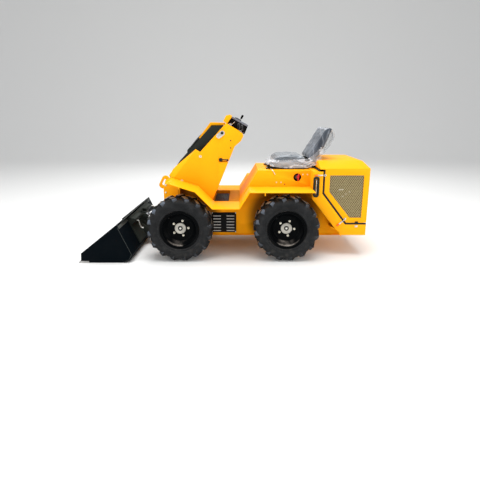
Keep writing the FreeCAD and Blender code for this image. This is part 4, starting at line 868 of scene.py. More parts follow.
# CAD nodes that keep their own form, with eased edges: body, finish, slot, width of the eased edge in metres
SHEET_METAL = {
    "frame": ("chassis", YELLOW_FRAME, "yellow_paint", 0.0012),
    "fender_left": ("chassis", YELLOW, "yellow_paint", 0.0030),
    "fender_right": ("chassis", YELLOW, "yellow_paint", 0.0030),
    "footwell": ("chassis", YELLOW_FLOOR, "yellow_paint", 0.0016),
    "tower_left": ("chassis", YELLOW, "yellow_paint", 0.0032),
    "tower_right": ("chassis", YELLOW, "yellow_paint", 0.0032),
    "tower_rear_cover": ("chassis", YELLOW, "yellow_paint", 0.0016),
    "console_brackets": ("chassis", YELLOW, "yellow_paint", 0.0050),
    "seat_box": ("chassis", YELLOW, "yellow_paint", 0.0035),
    "rear_frame": ("chassis", YELLOW, "yellow_paint", 0.0020),
    "hood": ("hood", YELLOW, "yellow_paint", 0.0030),
    "boom": ("boom", BLACK, "black_paint", 0.0020),
    "quick_hitch": ("bucket", BLACK, "black_paint", 0.0015),
    "bucket_shell": ("bucket", BUCKET_BLACK, "black_paint", 0.0010),
    "spill_guard": ("bucket", WORN_BLACK, "black_paint", 0.0010),
    "cutting_edge": ("bucket", EDGE_STEEL, "bare_steel", 0.0015),
    "lift_barrel": ("lift_barrel", BLACK, "black_paint", 0.0010),
    "tilt_barrel": ("tilt_barrel", BLACK, "black_paint", 0.0010),
    "lift_foot_bracket": ("chassis", BLACK, "black_paint", 0.0014),
    "seat_pan": ("chassis", BLACK, "black_paint", 0.0020),
    "console": ("chassis", BLACK_PLASTIC, "black_plastic", 0.0040),
    "hood_seal": ("chassis", SEAL_RUBBER, "black_rubber", 0.0030),
}
# CAD nodes that stay as they are
PLAIN_NODES = {
    "lift_rod": ROD_CHROME,
    "tilt_rod": ROD_CHROME,
    "wheel_motors": ENGINE_GREY,
    "engine": ENGINE_GREY,
    "boom_pivot_pin": BRIGHT,
}


def outward(side: int, low: float, high: float) -> tuple:
    """A span across one side of the machine, from its nearer to its farther distance."""
    return (low, high) if side > 0 else (-high, -low)


def bolt(shape: Shape, spot: tuple, way: tuple, radius: float, finish: int, socket: bool = False) -> None:
    """A bolt head with its washer.

    Args:
        shape: The mesh that takes it.
        spot: Middle of its seat.
        way: Direction in which it stands out.
        radius: Half its width over the corners.
        finish: Number of its finish.
        socket: Whether it is a round socket head instead of a hexagon.
    """
    way = Vector(way).normalized()
    seat = Vector(spot) - way * 0.001
    shape.rod(seat, Vector(spot) + way * radius * 0.25, radius * 1.45, finish, 0.0005, 24)
    shape.rod(seat, Vector(spot) + way * radius * (1.1 if socket else 0.95), radius, finish, 0.0008,
              20 if socket else 6)


@dataclass
class Tower:
    """Fittings on the two tower plates: pin retainers, bolts, black discs of painted shade in two holes, and the keyed
    slot's bolt.
    """

    pivot: tuple = (-0.040, 1.096)
    plate: tuple = (0.042, 0.022)
    lean: float = 38.0

    def retainer(self, side: int) -> bmesh.types.BMesh:
        """The tilted oval plate that holds the boom's pivot pin."""
        reach, radius = self.plate[0] - self.plate[1], self.plate[1]
        corners = []
        for middle, first in ((reach, -90), (-reach, 90)):
            for step in range(13):
                angle = math.radians(first + 180 * step / 12)
                corners.append((middle + radius * math.cos(angle), radius * math.sin(angle)))
        piece = plate_mesh(corners, *outward(side, 0.0, 0.007), 0.0014)
        turn = Matrix.Rotation(-math.radians(self.lean), 4, "Y")
        place = Matrix.Translation((self.pivot[0], side * 0.2745, self.pivot[1]))
        bmesh.ops.transform(piece, matrix=place @ turn, verts=piece.verts)
        return piece

    def build(self) -> None:
        """All the fittings, on both sides."""
        shape = Shape(BRIGHT, SEAL_RUBBER, YELLOW, NUT_ZINC)
        x, z = self.pivot
        for _, side in SIDES:
            y = side * FRAME_HALF
            out = (0, side, 0)
            shape.add(self.retainer(side), 0)
            shape.rod((x, side * 0.279, z), (x, side * 0.2830, z), 0.0165, 0, 0.0012, 32)
            bolt(shape, (x + 0.0135, side * 0.2815, z + 0.0125), out, 0.0085, 1, True)
            bolt(shape, (x - 0.0200, side * 0.2815, z - 0.0160), out, 0.0060, 0)
            for bolt_x, bolt_z in ((-0.224, 0.902), (-0.398, 0.679)):
                bolt(shape, (bolt_x, y, bolt_z), out, 0.0085, 3)
            # Black discs stand for the dark insides of two holes: painted shade
            for hole_x, hole_z in ((0.050, 1.043), (0.050, 0.978)):
                shape.rod((hole_x, y - side * 0.003, hole_z), (hole_x, y + side * 0.0006, hole_z), 0.0062, 1)
            shape.rod((-0.040, y - side * 0.010, 0.8725), (-0.040, y + side * 0.006, 0.8725), 0.0165, 1, 0.002, 24)
            shape.rod((-0.040, y, 0.8740), (0.026, y, 0.8690), 0.0055, 1, 0.001, 12)
            shape.rod((0.020, y - side * 0.004, 0.8690), (0.020, y + side * 0.005, 0.8690), 0.0095, 1, 0.001, 20)
        shape.finish("tower_fittings", "chassis", "bare_steel")


@dataclass
class Fender:
    """Tabs and gussets under the two fender sheets, and the bolts in the frame's nose."""

    edge: float = 0.551
    sheet: float = 0.005

    def build(self) -> None:
        """All the pieces, on both sides."""
        shape = Shape(YELLOW, BRIGHT, SEAL_RUBBER, NUT_ZINC)
        for _, side in SIDES:
            near, far = outward(side, self.edge - 0.020, self.edge - 0.001)
            for low, high in (((-0.389, 0.655), (-0.381, 0.6705)), ((0.342, 0.598), (0.350, 0.6225))):
                shape.box((low[0], near, low[1]), (high[0], far, high[1]), 0, 0.0008)
            near, far = outward(side, FRAME_HALF, FRAME_HALF + 0.055)
            shape.plate([(-0.419, 0.560), (-0.411, 0.560), (-0.411, 0.672), (-0.419, 0.674)], near, far, 0, 0.0008)
            out = (0, side, 0)
            bolt(shape, (-0.550, side * FRAME_HALF, 0.571), out, 0.0060, 3)
            bolt(shape, (-0.548, side * FRAME_HALF, 0.640), out, 0.0070, 3)
            shape.rod((0.541, side * 0.272, 0.648), (0.541, side * 0.2756, 0.648), 0.0055, 2)
            for x, z in ((0.465, 0.665), (0.507, 0.665), (0.705, 0.738), (0.747, 0.738)):
                bolt(shape, (x, side * FRAME_HALF, z), out, 0.0050, 3, True)
            bolt(shape, (-0.470, side * (self.edge - 0.03), 0.7026), (-0.3, 0, 1), 0.0060, 0, True)
        shape.finish("fender_tabs", "chassis", "yellow_paint")


@dataclass
class Floor:
    """Rubber mat with its raised studs, in the footwell."""

    low: tuple = (-0.112, -0.242, 0.4485)
    high: tuple = (0.024, 0.242, 0.4545)
    pitch: float = 0.017

    def build(self) -> None:
        """The mat."""
        shape = Shape(MAT_RUBBER)
        shape.box(self.low, self.high, 0, 0.0012)
        stud = rod_mesh(0.0045, 0.0016, 0.0005, 10)
        across = int((self.high[1] - self.low[1]) / self.pitch)
        along = int((self.high[0] - self.low[0]) / self.pitch)
        for row in range(across):
            for column in range(along):
                x = self.low[0] + self.pitch * (column + 0.5)
                y = self.low[1] + self.pitch * (row + 0.5)
                shape.add(stud, 0, Matrix.Translation((x, y, self.high[2] - 0.0004)), keep=True)
        stud.free()
        shape.finish("footwell_mat_studded", "chassis", "black_rubber", replaces=("footwell_mat",))


@dataclass
class Louvres:
    """Black panels with pressed air slots, low on the frame's sides."""

    low: tuple = (-0.133, 0.189)
    high: tuple = (0.097, 0.383)
    columns: tuple = (-0.118, 0.007)
    slot: tuple = (0.072, 0.015)
    rows: int = 6
    pitch: float = 0.0285

    def hood(self, left: float, base: float, side: int) -> bmesh.types.BMesh:
        """One pressed lip that sheds water over its slot."""
        length, tall = self.slot
        section = [(0.0, 0.0), (0.0062, -0.0015), (0.0072, 0.0005), (0.0058, tall * 0.55), (0.0, tall)]
        outline = [(side * (FRAME_HALF + 0.0028 + out), base + rise) for out, rise in section]
        piece = plate_mesh(outline, left, left + length, 0.0012, 2, Axis.X)
        for vert in piece.verts:
            near = min(vert.co.x - left, left + length - vert.co.x)
            lift = min(1.0, 0.25 + near / 0.009)
            vert.co.y = side * (FRAME_HALF + 0.0028 + (abs(vert.co.y) - FRAME_HALF - 0.0028) * lift)
        for face in piece.faces:
            face.material_index = 1 if face.calc_center_median().z < base + 0.0065 else 0
        return piece

    def build(self) -> None:
        """Both panels."""
        shape = Shape(LOUVRE_BLACK, LOUVRE_LIP, SEAL_RUBBER, BRIGHT)
        for _, side in SIDES:
            outline = [self.low, (self.high[0], self.low[1]), self.high, (self.low[0], self.high[1])]
            shape.plate(outline, *outward(side, FRAME_HALF, FRAME_HALF + 0.003), 0, 0.0010)
            for left in self.columns:
                for row in range(self.rows):
                    base = self.low[1] + 0.014 + row * self.pitch
                    near, far = outward(side, FRAME_HALF + 0.0026, FRAME_HALF + 0.0034)
                    # A black strip under each lip stands for the dark inside of its slot: painted shade
                    shape.box((left + 0.002, near, base - 0.0045), (left + self.slot[0] - 0.002, far, base), 2)
                    shape.add(self.hood(left, base, side), None)
            for x in (self.low[0] + 0.006, self.high[0] - 0.006):
                for z in (self.low[1] + 0.006, self.high[1] - 0.006):
                    bolt(shape, (x, side * (FRAME_HALF + 0.003), z), (0, side, 0), 0.0036, 3, True)
        shape.finish("louvre_panels_pressed", "chassis", "black_paint", replaces=("louvre_panels",))


@dataclass
class Lug:
    """Tie-down lugs of thick plate with a long eye, at the frame's nose."""

    middle: tuple = (-0.5620, 0.6670)
    reach: tuple = (0.030, 0.0340)
    eye: tuple = (0.0185, 0.0115)
    lean: float = 62.0
    across: tuple = (0.2550, 0.2672)

    def oval(self, half: float, radius: float) -> list:
        """A long rounded outline about the origin."""
        corners = []
        for middle, first in ((half, -90), (-half, 90)):
            for step in range(13):
                angle = math.radians(first + 180 * step / 12)
                corners.append((middle + radius * math.cos(angle), radius * math.sin(angle)))
        return corners

    def build(self) -> None:
        """The lugs, each an oval ring joined to its foot."""
        shape = Shape(YELLOW)
        turn = Matrix.Rotation(-math.radians(self.lean), 4, "Y")
        for _, side in SIDES:
            near, far = outward(side, *self.across)
            ring = bmesh.new()
            loops = []
            for half, radius in ((self.reach[0], self.reach[1]), self.eye):
                corners = [ring.verts.new((a, near, b)) for a, b in self.oval(half, radius)]
                loops += [ring.edges.new(pair) for pair in zip(corners, corners[1:] + corners[:1])]
            bmesh.ops.bridge_loops(ring, edges=loops)
            grown = bmesh.ops.extrude_face_region(ring, geom=list(ring.faces))["geom"]
            moved = [item for item in grown if isinstance(item, bmesh.types.BMVert)]
            bmesh.ops.translate(ring, vec=(0, far - near, 0), verts=moved)
            bmesh.ops.recalc_face_normals(ring, faces=ring.faces)
            round_edges(ring, 0.0028, 3, 60)
            shape.add(ring, 0, Matrix.Translation((self.middle[0], 0, self.middle[1])) @ turn)
            shape.plate([(-0.556, 0.604), (-0.526, 0.604), (-0.524, 0.700), (-0.546, 0.650)], near, far, 0, 0.002)
        shape.finish("tie_down_lugs_forged", "chassis", "yellow_paint", replaces=("tie_down_lugs",))


@dataclass
class HoodTrim:
    """Mesh windows of the hood, its latches and hinges, and the seals round it."""

    window: tuple = ((0.922, 0.749), (1.225, 0.752), (1.228, 0.364), (1.117, 0.364), (0.921, 0.602))
    cell: tuple = (0.016, 0.026)
    strand: float = 0.0034

    def mesh_window(self, side: int) -> bmesh.types.BMesh:
        """Strands of expanded metal, cut to the window's outline."""
        piece = bmesh.new()
        lean = math.atan2(self.cell[1], self.cell[0])
        middle = Vector((1.075, 0.0, 0.557))
        inner = REAR_HALF - 0.0085
        for family, way in enumerate((1, -1)):
            low, high = outward(side, inner + 0.0009 * family, inner + 0.0009 * family + 0.0014)
            for number in range(-24, 25):
                strand = box_mesh((-0.3, low, -self.strand / 2), (0.3, high, self.strand / 2))
                place = Matrix.Translation(middle + Vector((0, 0, number * self.cell[1])))
                scrap = bpy.data.meshes.new("scrap")
                bmesh.ops.transform(strand, matrix=place @ Matrix.Rotation(way * lean, 4, "Y"), verts=strand.verts)
                strand.to_mesh(scrap)
                strand.free()
                piece.from_mesh(scrap)
                bpy.data.meshes.remove(scrap)
        corners = [Vector((x, 0, z)) for x, z in self.window]
        for here, there in zip(corners, corners[1:] + corners[:1]):
            normal = (there - here).cross(Axis.Y.value).normalized()
            if normal.dot(here - middle) < 0:
                normal = -normal
            bmesh.ops.bisect_plane(piece, geom=list(piece.verts) + list(piece.edges) + list(piece.faces),
                                   plane_co=here + normal * 0.004, plane_no=normal, clear_outer=True)
        return piece

    def build_windows(self) -> None:
        """Mesh and the filter sheet behind it, on both sides."""
        for name, side in SIDES:
            shape = Shape(MESH_GREY, MESH_BACK, BRIGHT)
            shape.add(self.mesh_window(side), 0)
            back = [(x, z) for x, z in self.window]
            grown = [(1.075 + (x - 1.075) * 1.04, 0.557 + (z - 0.557) * 1.03) for x, z in back]
            shape.plate(grown, *outward(side, REAR_HALF - 0.0125, REAR_HALF - 0.0105), 1)
            near, far = outward(side, REAR_HALF - 0.0105, REAR_HALF - 0.0092)
            for x, z, reach in ((1.030, 0.620, 0.020), (1.075, 0.580, 0.006), (1.045, 0.560, 0.007),
                                (1.105, 0.600, 0.006)):
                shape.box((x - reach, near, z - 0.004), (x + reach, far, z + 0.004), 2, 0.001)
            shape.finish(f"hood_grille_{name}_mesh", "hood", "bare_steel", replaces=(f"hood_grille_{name}",))

    def build_latches(self) -> None:
        """Draw latches across the seam: orange tip, steel bar and a round keeper."""
        shape = Shape(BRIGHT, ORANGE_PLASTIC)
        keepers = Shape(BRIGHT, BLACK)
        bar = box_mesh((0.012, 0.0005, -0.0060), (0.052, 0.0070, 0.0060), 0.0015)
        tip = box_mesh((-0.012, 0.0005, -0.0065), (0.016, 0.0120, 0.0065), 0.0030)
        hook = rod_mesh(0.0036, 0.034, 0.001, 14)
        lay = Matrix.Translation((0.040, 0.0062, 0)) @ Matrix.Rotation(math.pi / 2, 4, "Y")
        for _, side in SIDES:
            for x, z, lean in ((0.7975, 0.7500, 0.0), (1.0150, 0.2960, 42.0)):
                place = Matrix.Translation((x, side * REAR_HALF, z)) @ Matrix.Rotation(-math.radians(lean), 4, "Y")
                place = place @ Matrix.Scale(side, 4, Axis.Y.value)
                shape.add(bar, 0, place, keep=True)
                shape.add(tip, 1, place, keep=True)
                shape.add(hook, 0, place @ lay, keep=True)
            for x, z in ((0.8760, 0.7500), (1.0760, 0.3540)):
                keepers.rod((x, side * (REAR_HALF - 0.001), z), (x, side * (REAR_HALF + 0.0070), z), 0.0110, 0, 0.0015,
                            28)
                keepers.rod((x, side * (REAR_HALF + 0.006), z), (x, side * (REAR_HALF + 0.0085), z), 0.0045, 1,
                            0.0006, 16)
            near, far = outward(side, REAR_HALF, REAR_HALF + 0.005)
            keepers.box((1.168, near, 0.314), (1.196, far, 0.330), 1, 0.001)
        for piece in (bar, tip, hook):
            piece.free()
        for made in (shape, keepers):
            bmesh.ops.recalc_face_normals(made.mesh, faces=made.mesh.faces)
        shape.finish("hood_latches_drawn", "chassis", "bare_steel", replaces=("hood_latches",))
        keepers.finish("hood_keepers", "hood", "bare_steel")

    def build_seals(self) -> None:
        """Rubber strip along the front of the hood, over its chamfers and down its sides."""
        shape = Shape(SEAL_RUBBER)
        for _, side in SIDES:
            shape.add(bent_mesh([(0.8290, 0.0, 0.7905), (0.8290, side * 0.385, 0.7905),
                                 (0.8290, side * 0.392, 0.7420)], 0.0060, 0.010))
        shape.finish("hood_front_seal", "chassis", "black_rubber")

    def build_hinge(self) -> None:
        """Hinge leaves at the foot of the hood, and the skirt's folded edge with its bracket."""
        shape = Shape(BRIGHT, YELLOW)
        for _, side in SIDES:
            near, far = outward(side, REAR_HALF, REAR_HALF + 0.0045)
            shape.box((1.170, near, 0.276), (1.194, far, 0.294), 0, 0.001)
            bolt(shape, (1.182, side * (REAR_HALF + 0.0045), 0.285), (0, side, 0), 0.0034, 0)
            near, far = outward(side, REAR_HALF - 0.016, REAR_HALF)
            shape.plate([(1.0180, 0.2400), (1.0530, 0.1850), (1.0580, 0.1880), (1.0240, 0.2420)], near, far, 1, 0.001)
            near, far = outward(side, FRAME_HALF, REAR_HALF - 0.004)
            shape.plate([(0.9550, 0.2700), (1.0060, 0.2480), (1.0240, 0.2560), (1.0230, 0.2620), (1.0060, 0.2550),
                         (0.9570, 0.2760)], near, far, 1, 0.001)
        shape.finish("skirt_fittings", "chassis", "yellow_paint")

    def build(self) -> None:
        """Everything on and round the hood."""
        self.build_windows()
        self.build_latches()
        self.build_seals()
        self.build_hinge()


@dataclass
class Handles:
    """Two loop handles behind the operator's place, on the rear section's sides."""

    low: tuple = (0.784, 0.565)
    high: tuple = (0.819, 0.731)
    tube: float = 0.0098

    def build(self) -> None:
        """Each loop stands on two feet and has a bright rod inside it."""
        shape = Shape(BLACK, BRIGHT)
        for _, side in SIDES:
            y = side * (REAR_HALF + 0.0150)
            foot = side * REAR_HALF
            middle = (self.low[0] + self.high[0]) / 2
            (left, low), (right, high) = self.low, self.high
            route = [(middle, y, high), (right, y, high), (right, y, low), (left, y, low), (left, y, high),
                     (middle, y, high)]
            shape.add(bent_mesh(route, self.tube, 0.014, 14, 6))
            for z in (low, high):
                shape.rod((left, foot, z + (0.012 if z == low else -0.012)),
                          (left, y, z + (0.012 if z == low else -0.012)), 0.0065, 0, 0.001, 14)
            shape.rod((middle + 0.001, y, low + 0.020), (middle + 0.001, y, high - 0.020), 0.0030, 1, 0.001, 14)
            for z in (low + 0.024, high - 0.024):
                shape.rod((middle + 0.001, foot, z), (middle + 0.001, y, z), 0.0034, 1, 0.0006, 12)
        shape.finish("grab_handles", "chassis", "black_paint", replaces=("grab_bars",))


@dataclass
class Switch:
    """Battery switch in its round hole in the seat box: dark well, red key and carrier."""

    middle: tuple = (0.655, 0.712)
    well: float = 0.0335

    def build(self) -> None:
        """The switch."""
        x, z = self.middle
        shape = Shape(BLACK_PLASTIC, RED_PLASTIC, GREY_PLASTIC, BRIGHT)
        well = [(self.well, -0.2662), (self.well, -0.2480), (0.0, -0.2480), (0.0, -0.2500), (self.well - 0.004, -0.2500),
                (self.well - 0.004, -0.2662)]
        shape.add(turned_mesh(well, 48), 0, Matrix.Translation((x, 0, z)))
        shape.rod((x, -0.2500, z), (x, -0.2600, z), 0.0190, 2, 0.0015, 32)
        shape.rod((x + 0.006, -0.2590, z), (x + 0.006, -0.2690, z), 0.0130, 1, 0.002, 32)
        key = box_mesh((-0.0085, -0.2810, -0.0330), (0.0085, -0.2660, 0.0280), 0.0050, 3)
        shape.add(key, 1, Matrix.Translation((x + 0.010, 0, z)) @ Matrix.Rotation(0.06, 4, "Y"))
        shape.box((0.612, -0.2480, 0.668), (0.766, -0.2452, 0.752), 0, 0.001)
        for bolt_x, bolt_z in ((0.624, 0.742), (0.686, 0.742), (0.624, 0.682), (0.686, 0.682)):
            bolt(shape, (bolt_x, -0.2480, bolt_z), (0, -1, 0), 0.0035, 3, True)
        shape.finish("battery_switch_keyed", "chassis", "red_plastic", replaces=("battery_switch",))


@dataclass
class Console:
    """Control console: folded top plate, levers, side modules, port and bright brackets."""

    lean: float = 28.1
    lever_place: tuple = (0.132, 1.2086)

    def on_top(self, along: float, y: float, rise: float) -> Vector:
        """A point above the sloping top plate."""
        slope = math.radians(self.lean)
        front = Vector((0.060, y, 1.247))
        return front + Vector((math.cos(slope), 0, -math.sin(slope))) * along + Vector(
            (math.sin(slope), 0, math.cos(slope))) * rise

    def build_top(self) -> None:
        """The plate with its pale edge, a gauge and the key switch."""
        shape = Shape(PLATE_EDGE, BLACK_PLASTIC, GREY_PLASTIC, BRIGHT)
        slope = Matrix.Rotation(math.radians(self.lean), 4, "Y")
        place = Matrix.Translation(self.on_top(0.0, 0.0, 0.0)) @ slope
        shape.box((-0.006, -0.2035, -0.0100), (0.163, 0.2035, 0.0060), 0, 0.0020, matrix=place)
        for y, radius in ((-0.155, 0.026), (0.155, 0.022)):
            shape.add(rod_mesh(radius, 0.0090, 0.0014, 40), 2, place @ Matrix.Translation((0.052, y, 0.0055)))
            shape.add(rod_mesh(radius - 0.005, 0.0098, 0.0006, 40), 1,
                      place @ Matrix.Translation((0.052, y, 0.0055)))
        for y in (-0.185, -0.06, 0.06, 0.185):
            shape.add(rod_mesh(0.0042, 0.0042, 0.0008, 16), 3, place @ Matrix.Translation((0.143, y, 0.0055)))
        shape.finish("console_top", "chassis", "black_plastic")

    def build_sides(self) -> None:
        """End modules, the round port, clips and bolts at both ends."""
        shape = Shape(GREY_PLASTIC, BLACK_PLASTIC, BRIGHT, SEAL_RUBBER)
        for _, side in SIDES:
            out = (0, side, 0)
            near, far = outward(side, 0.1985, 0.2050)
            shape.box((0.132, near, 1.096), (0.170, far, 1.112), 0, 0.002)
            near, far = outward(side, 0.1985, 0.2060)
            for x, low, high in ((0.112, 1.135, 1.192), (0.140, 1.128, 1.180)):
                shape.box((x, near, low), (x + 0.019, far, high), 0, 0.0020)
                inner, outer = outward(side, 0.1985, 0.2072)
                shape.box((x + 0.004, inner, low + 0.008), (x + 0.015, outer, high - 0.008), 1, 0.001)
            port = [(0.0120, 0.1985), (0.0120, 0.2075), (0.0090, 0.2085), (0.0065, 0.2050), (0.0, 0.2050), (0.0, 0.1985)]
            ring = [(radius, side * across) for radius, across in port]
            shape.add(turned_mesh(ring, 32), 2, Matrix.Translation((0.1325, 0, 1.119)))
            shape.rod((0.1325, side * 0.2040, 1.119), (0.1325, side * 0.2056, 1.119), 0.0064, 3)
            near, far = outward(side, 0.1990, 0.2350)
            shape.box((0.030, near, 1.170), (0.056, far, 1.193), 2, 0.0020)
            shape.rod((0.054, side * 0.2050, 1.178), (0.086, side * 0.2050, 1.206), 0.0028, 2, 0.0005, 10)
            bolt(shape, (0.043, side * 0.2350, 1.182), out, 0.0055, 2)
            bolt(shape, (0.150, side * 0.2660, 1.100), out, 0.0050, 2)
        shape.finish("console_modules", "chassis", "black_plastic")

    def build_levers(self) -> None:
        """Rods with rubber boots and grips; the nearest is the tall one."""
        shape = Shape(BLACK_PLASTIC, BRIGHT, SEAL_RUBBER)
        along = 0.080
        for y, tall, grip in ((-0.110, 0.0620, 0.0105), (-0.040, 0.0500, 0.0105), (0.040, 0.0500, 0.0105),
                              (0.110, 0.0620, 0.0105)):
            foot = self.on_top(along, y, 0.004)
            collar = self.on_top(along, y, 0.014)
            top = self.on_top(along, y, tall)
            shape.rod(foot, collar, 0.0130, 2, 0.002, 24, 0.0070)
            shape.rod(collar, self.on_top(along, y, 0.026), 0.0040, 1, 0.0005, 14)
            shape.rod(self.on_top(along, y, 0.022), top, 0.0080, 0, 0.004, 20, grip)
        shape.finish("control_levers_gripped", "chassis", "black_plastic", 50, replaces=("control_levers",))

    def build(self) -> None:
        """The whole console's dress."""
        self.build_top()
        self.build_sides()
        self.build_levers()


@dataclass
class Hitch:
    """Top rail and gussets of the quick hitch, its lock levers, and the bucket's weld lines."""

    half: float = 0.300
    clear: float = 0.085
    pitch: float = 0.0415

    def build_rail(self) -> None:
        """An angle of plate on gussets, left open in the middle for the tilt cylinder."""
        shape = Shape(BLACK, BRIGHT)
        for _, side in SIDES:
            near, far = outward(side, self.clear, self.half)
            shape.plate([(-0.9020, 0.3280), (-0.8400, 0.3180), (-0.8385, 0.3255), (-0.9005, 0.3355)], near, far, 0,
                        0.0012)
            shape.plate([(-0.8400, 0.3180), (-0.8445, 0.2920), (-0.8380, 0.2910), (-0.8330, 0.3180)], near, far, 0,
                        0.0012)
            for number in range(6):
                y = side * (self.clear + 0.004 + number * self.pitch)
                near, far = min(y, y + side * 0.006), max(y, y + side * 0.006)
                shape.plate([(-0.9000, 0.3270), (-0.8450, 0.3180), (-0.8470, 0.2960), (-0.8800, 0.2700)], near, far, 0,
                            0.0008)
            edge = side * (self.half - 0.012)
            shape.add(bent_mesh([(-0.8120, edge, 0.3080), (-0.8060, edge, 0.2750), (-0.7900, edge, 0.2380),
                                 (-0.7720, edge, 0.2350)], 0.0058, 0.012, 12, 4), 1)
            shape.rod((-0.8120, edge, 0.3070), (-0.8420, edge - side * 0.010, 0.3060), 0.0050, 1, 0.0008, 12)
        shape.finish("hitch_rail", "bucket", "black_paint")

    def build_welds(self) -> None:
        """Worn weld beads along the bucket's side plates and a paler strip under the back's top edge."""
        shape = Shape(WORN_BLACK)
        strip = [(-0.9095, 0.3061), (-0.9204, 0.3311), (-0.9190, 0.3317), (-0.9081, 0.3067)]
        for _, side in SIDES:
            shape.plate(strip, *outward(side, 0.3040, 0.5550), 0, 0.0003)
            y = side * 0.5605
            line = [(-0.8800, 0.0100), (-0.8400, 0.0250), (-0.8160, 0.0760), (-0.9200, 0.3160)]
            shape.add(bent_mesh([(x, y, z) for x, z in line], 0.0016, 0.012, 8, 4))
        shape.finish("bucket_welds", "bucket", "bare_steel")

    def build(self) -> None:
        """Everything on the bucket's back."""
        self.build_rail()
        self.build_welds()


@dataclass
class Hoses:
    """Hydraulic hoses over the boom's back, from under the guard, and the guard's folded sheet."""

    thick: float = 0.0165
    across: tuple = (-0.036, -0.012, 0.012, 0.036)

    def hose(self, name: str, route: list) -> bpy.types.Object:
        """One hose as a smooth curve through given points."""
        data = bpy.data.curves.new(name, "CURVE")
        data.dimensions = "3D"
        data.bevel_depth = self.thick / 2
        data.bevel_resolution = 4
        data.resolution_u = 10
        data.use_fill_caps = True
        spline = data.splines.new("NURBS")
        spline.points.add(len(route) - 1)
        for point, spot in zip(spline.points, route):
            point.co = (*spot, 1.0)
        spline.order_u = 3
        spline.use_endpoint_u = True
        data.materials.append(HOSE_RUBBER.material())
        made = bpy.data.objects.new(name, data)
        bpy.context.scene.collection.objects.link(made)
        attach(made, "boom")
        return made

    def build_hoses(self) -> None:
        """Four hoses side by side, each with a crimped fitting at both ends."""
        fittings = Shape(BLACK, BRIGHT)
        for number, y in enumerate(self.across):
            swell = 0.004 if number % 2 else 0.0
            route = [(-0.1670, y, 1.1500), (-0.2070, y, 1.1080), (-0.2540 - swell, y, 1.0600),
                     (-0.2940 - swell, y, 1.0170), (-0.3310, y, 0.9730), (-0.3570, y, 0.9440)]
            self.hose(f"boom_hose_{number + 1}", route)
            for end, inner in ((route[0], route[1]), (route[-1], route[-2])):
                way = (Vector(inner) - Vector(end)).normalized()
                fittings.rod(Vector(end) - way * 0.010, Vector(end) + way * 0.020, 0.0100, 0, 0.0012, 20)
        fittings.box((-0.3740, -0.0520, 0.9190), (-0.3480, 0.0520, 0.9390), 0, 0.003)
        fittings.finish("hose_fittings", "boom", "black_paint")

    def build_guard(self) -> None:
        """The guard: a top sheet folded down into two flanges."""
        shape = Shape(YELLOW)
        top = [(-0.0120, 1.1950), (-0.1470, 1.1990), (-0.2600, 1.0560)]
        foot = [(-0.2370, 1.0370), (-0.1370, 1.1720), (-0.0120, 1.1720)]
        for _, side in SIDES:
            shape.plate(top + foot, *outward(side, 0.0490, 0.0530), 0, 0.0012)
        inner = [(-0.2570, 1.0535), (-0.1455, 1.1948), (-0.0120, 1.1910)]
        shape.plate(top + inner[::-1], -0.0488, 0.0488, 0, 0.0)
        shape.finish("hose_guard_folded", "boom", "yellow_paint", replaces=("hose_guard",))

    def build(self) -> None:
        """Hoses and their guard."""
        self.build_hoses()
        self.build_guard()


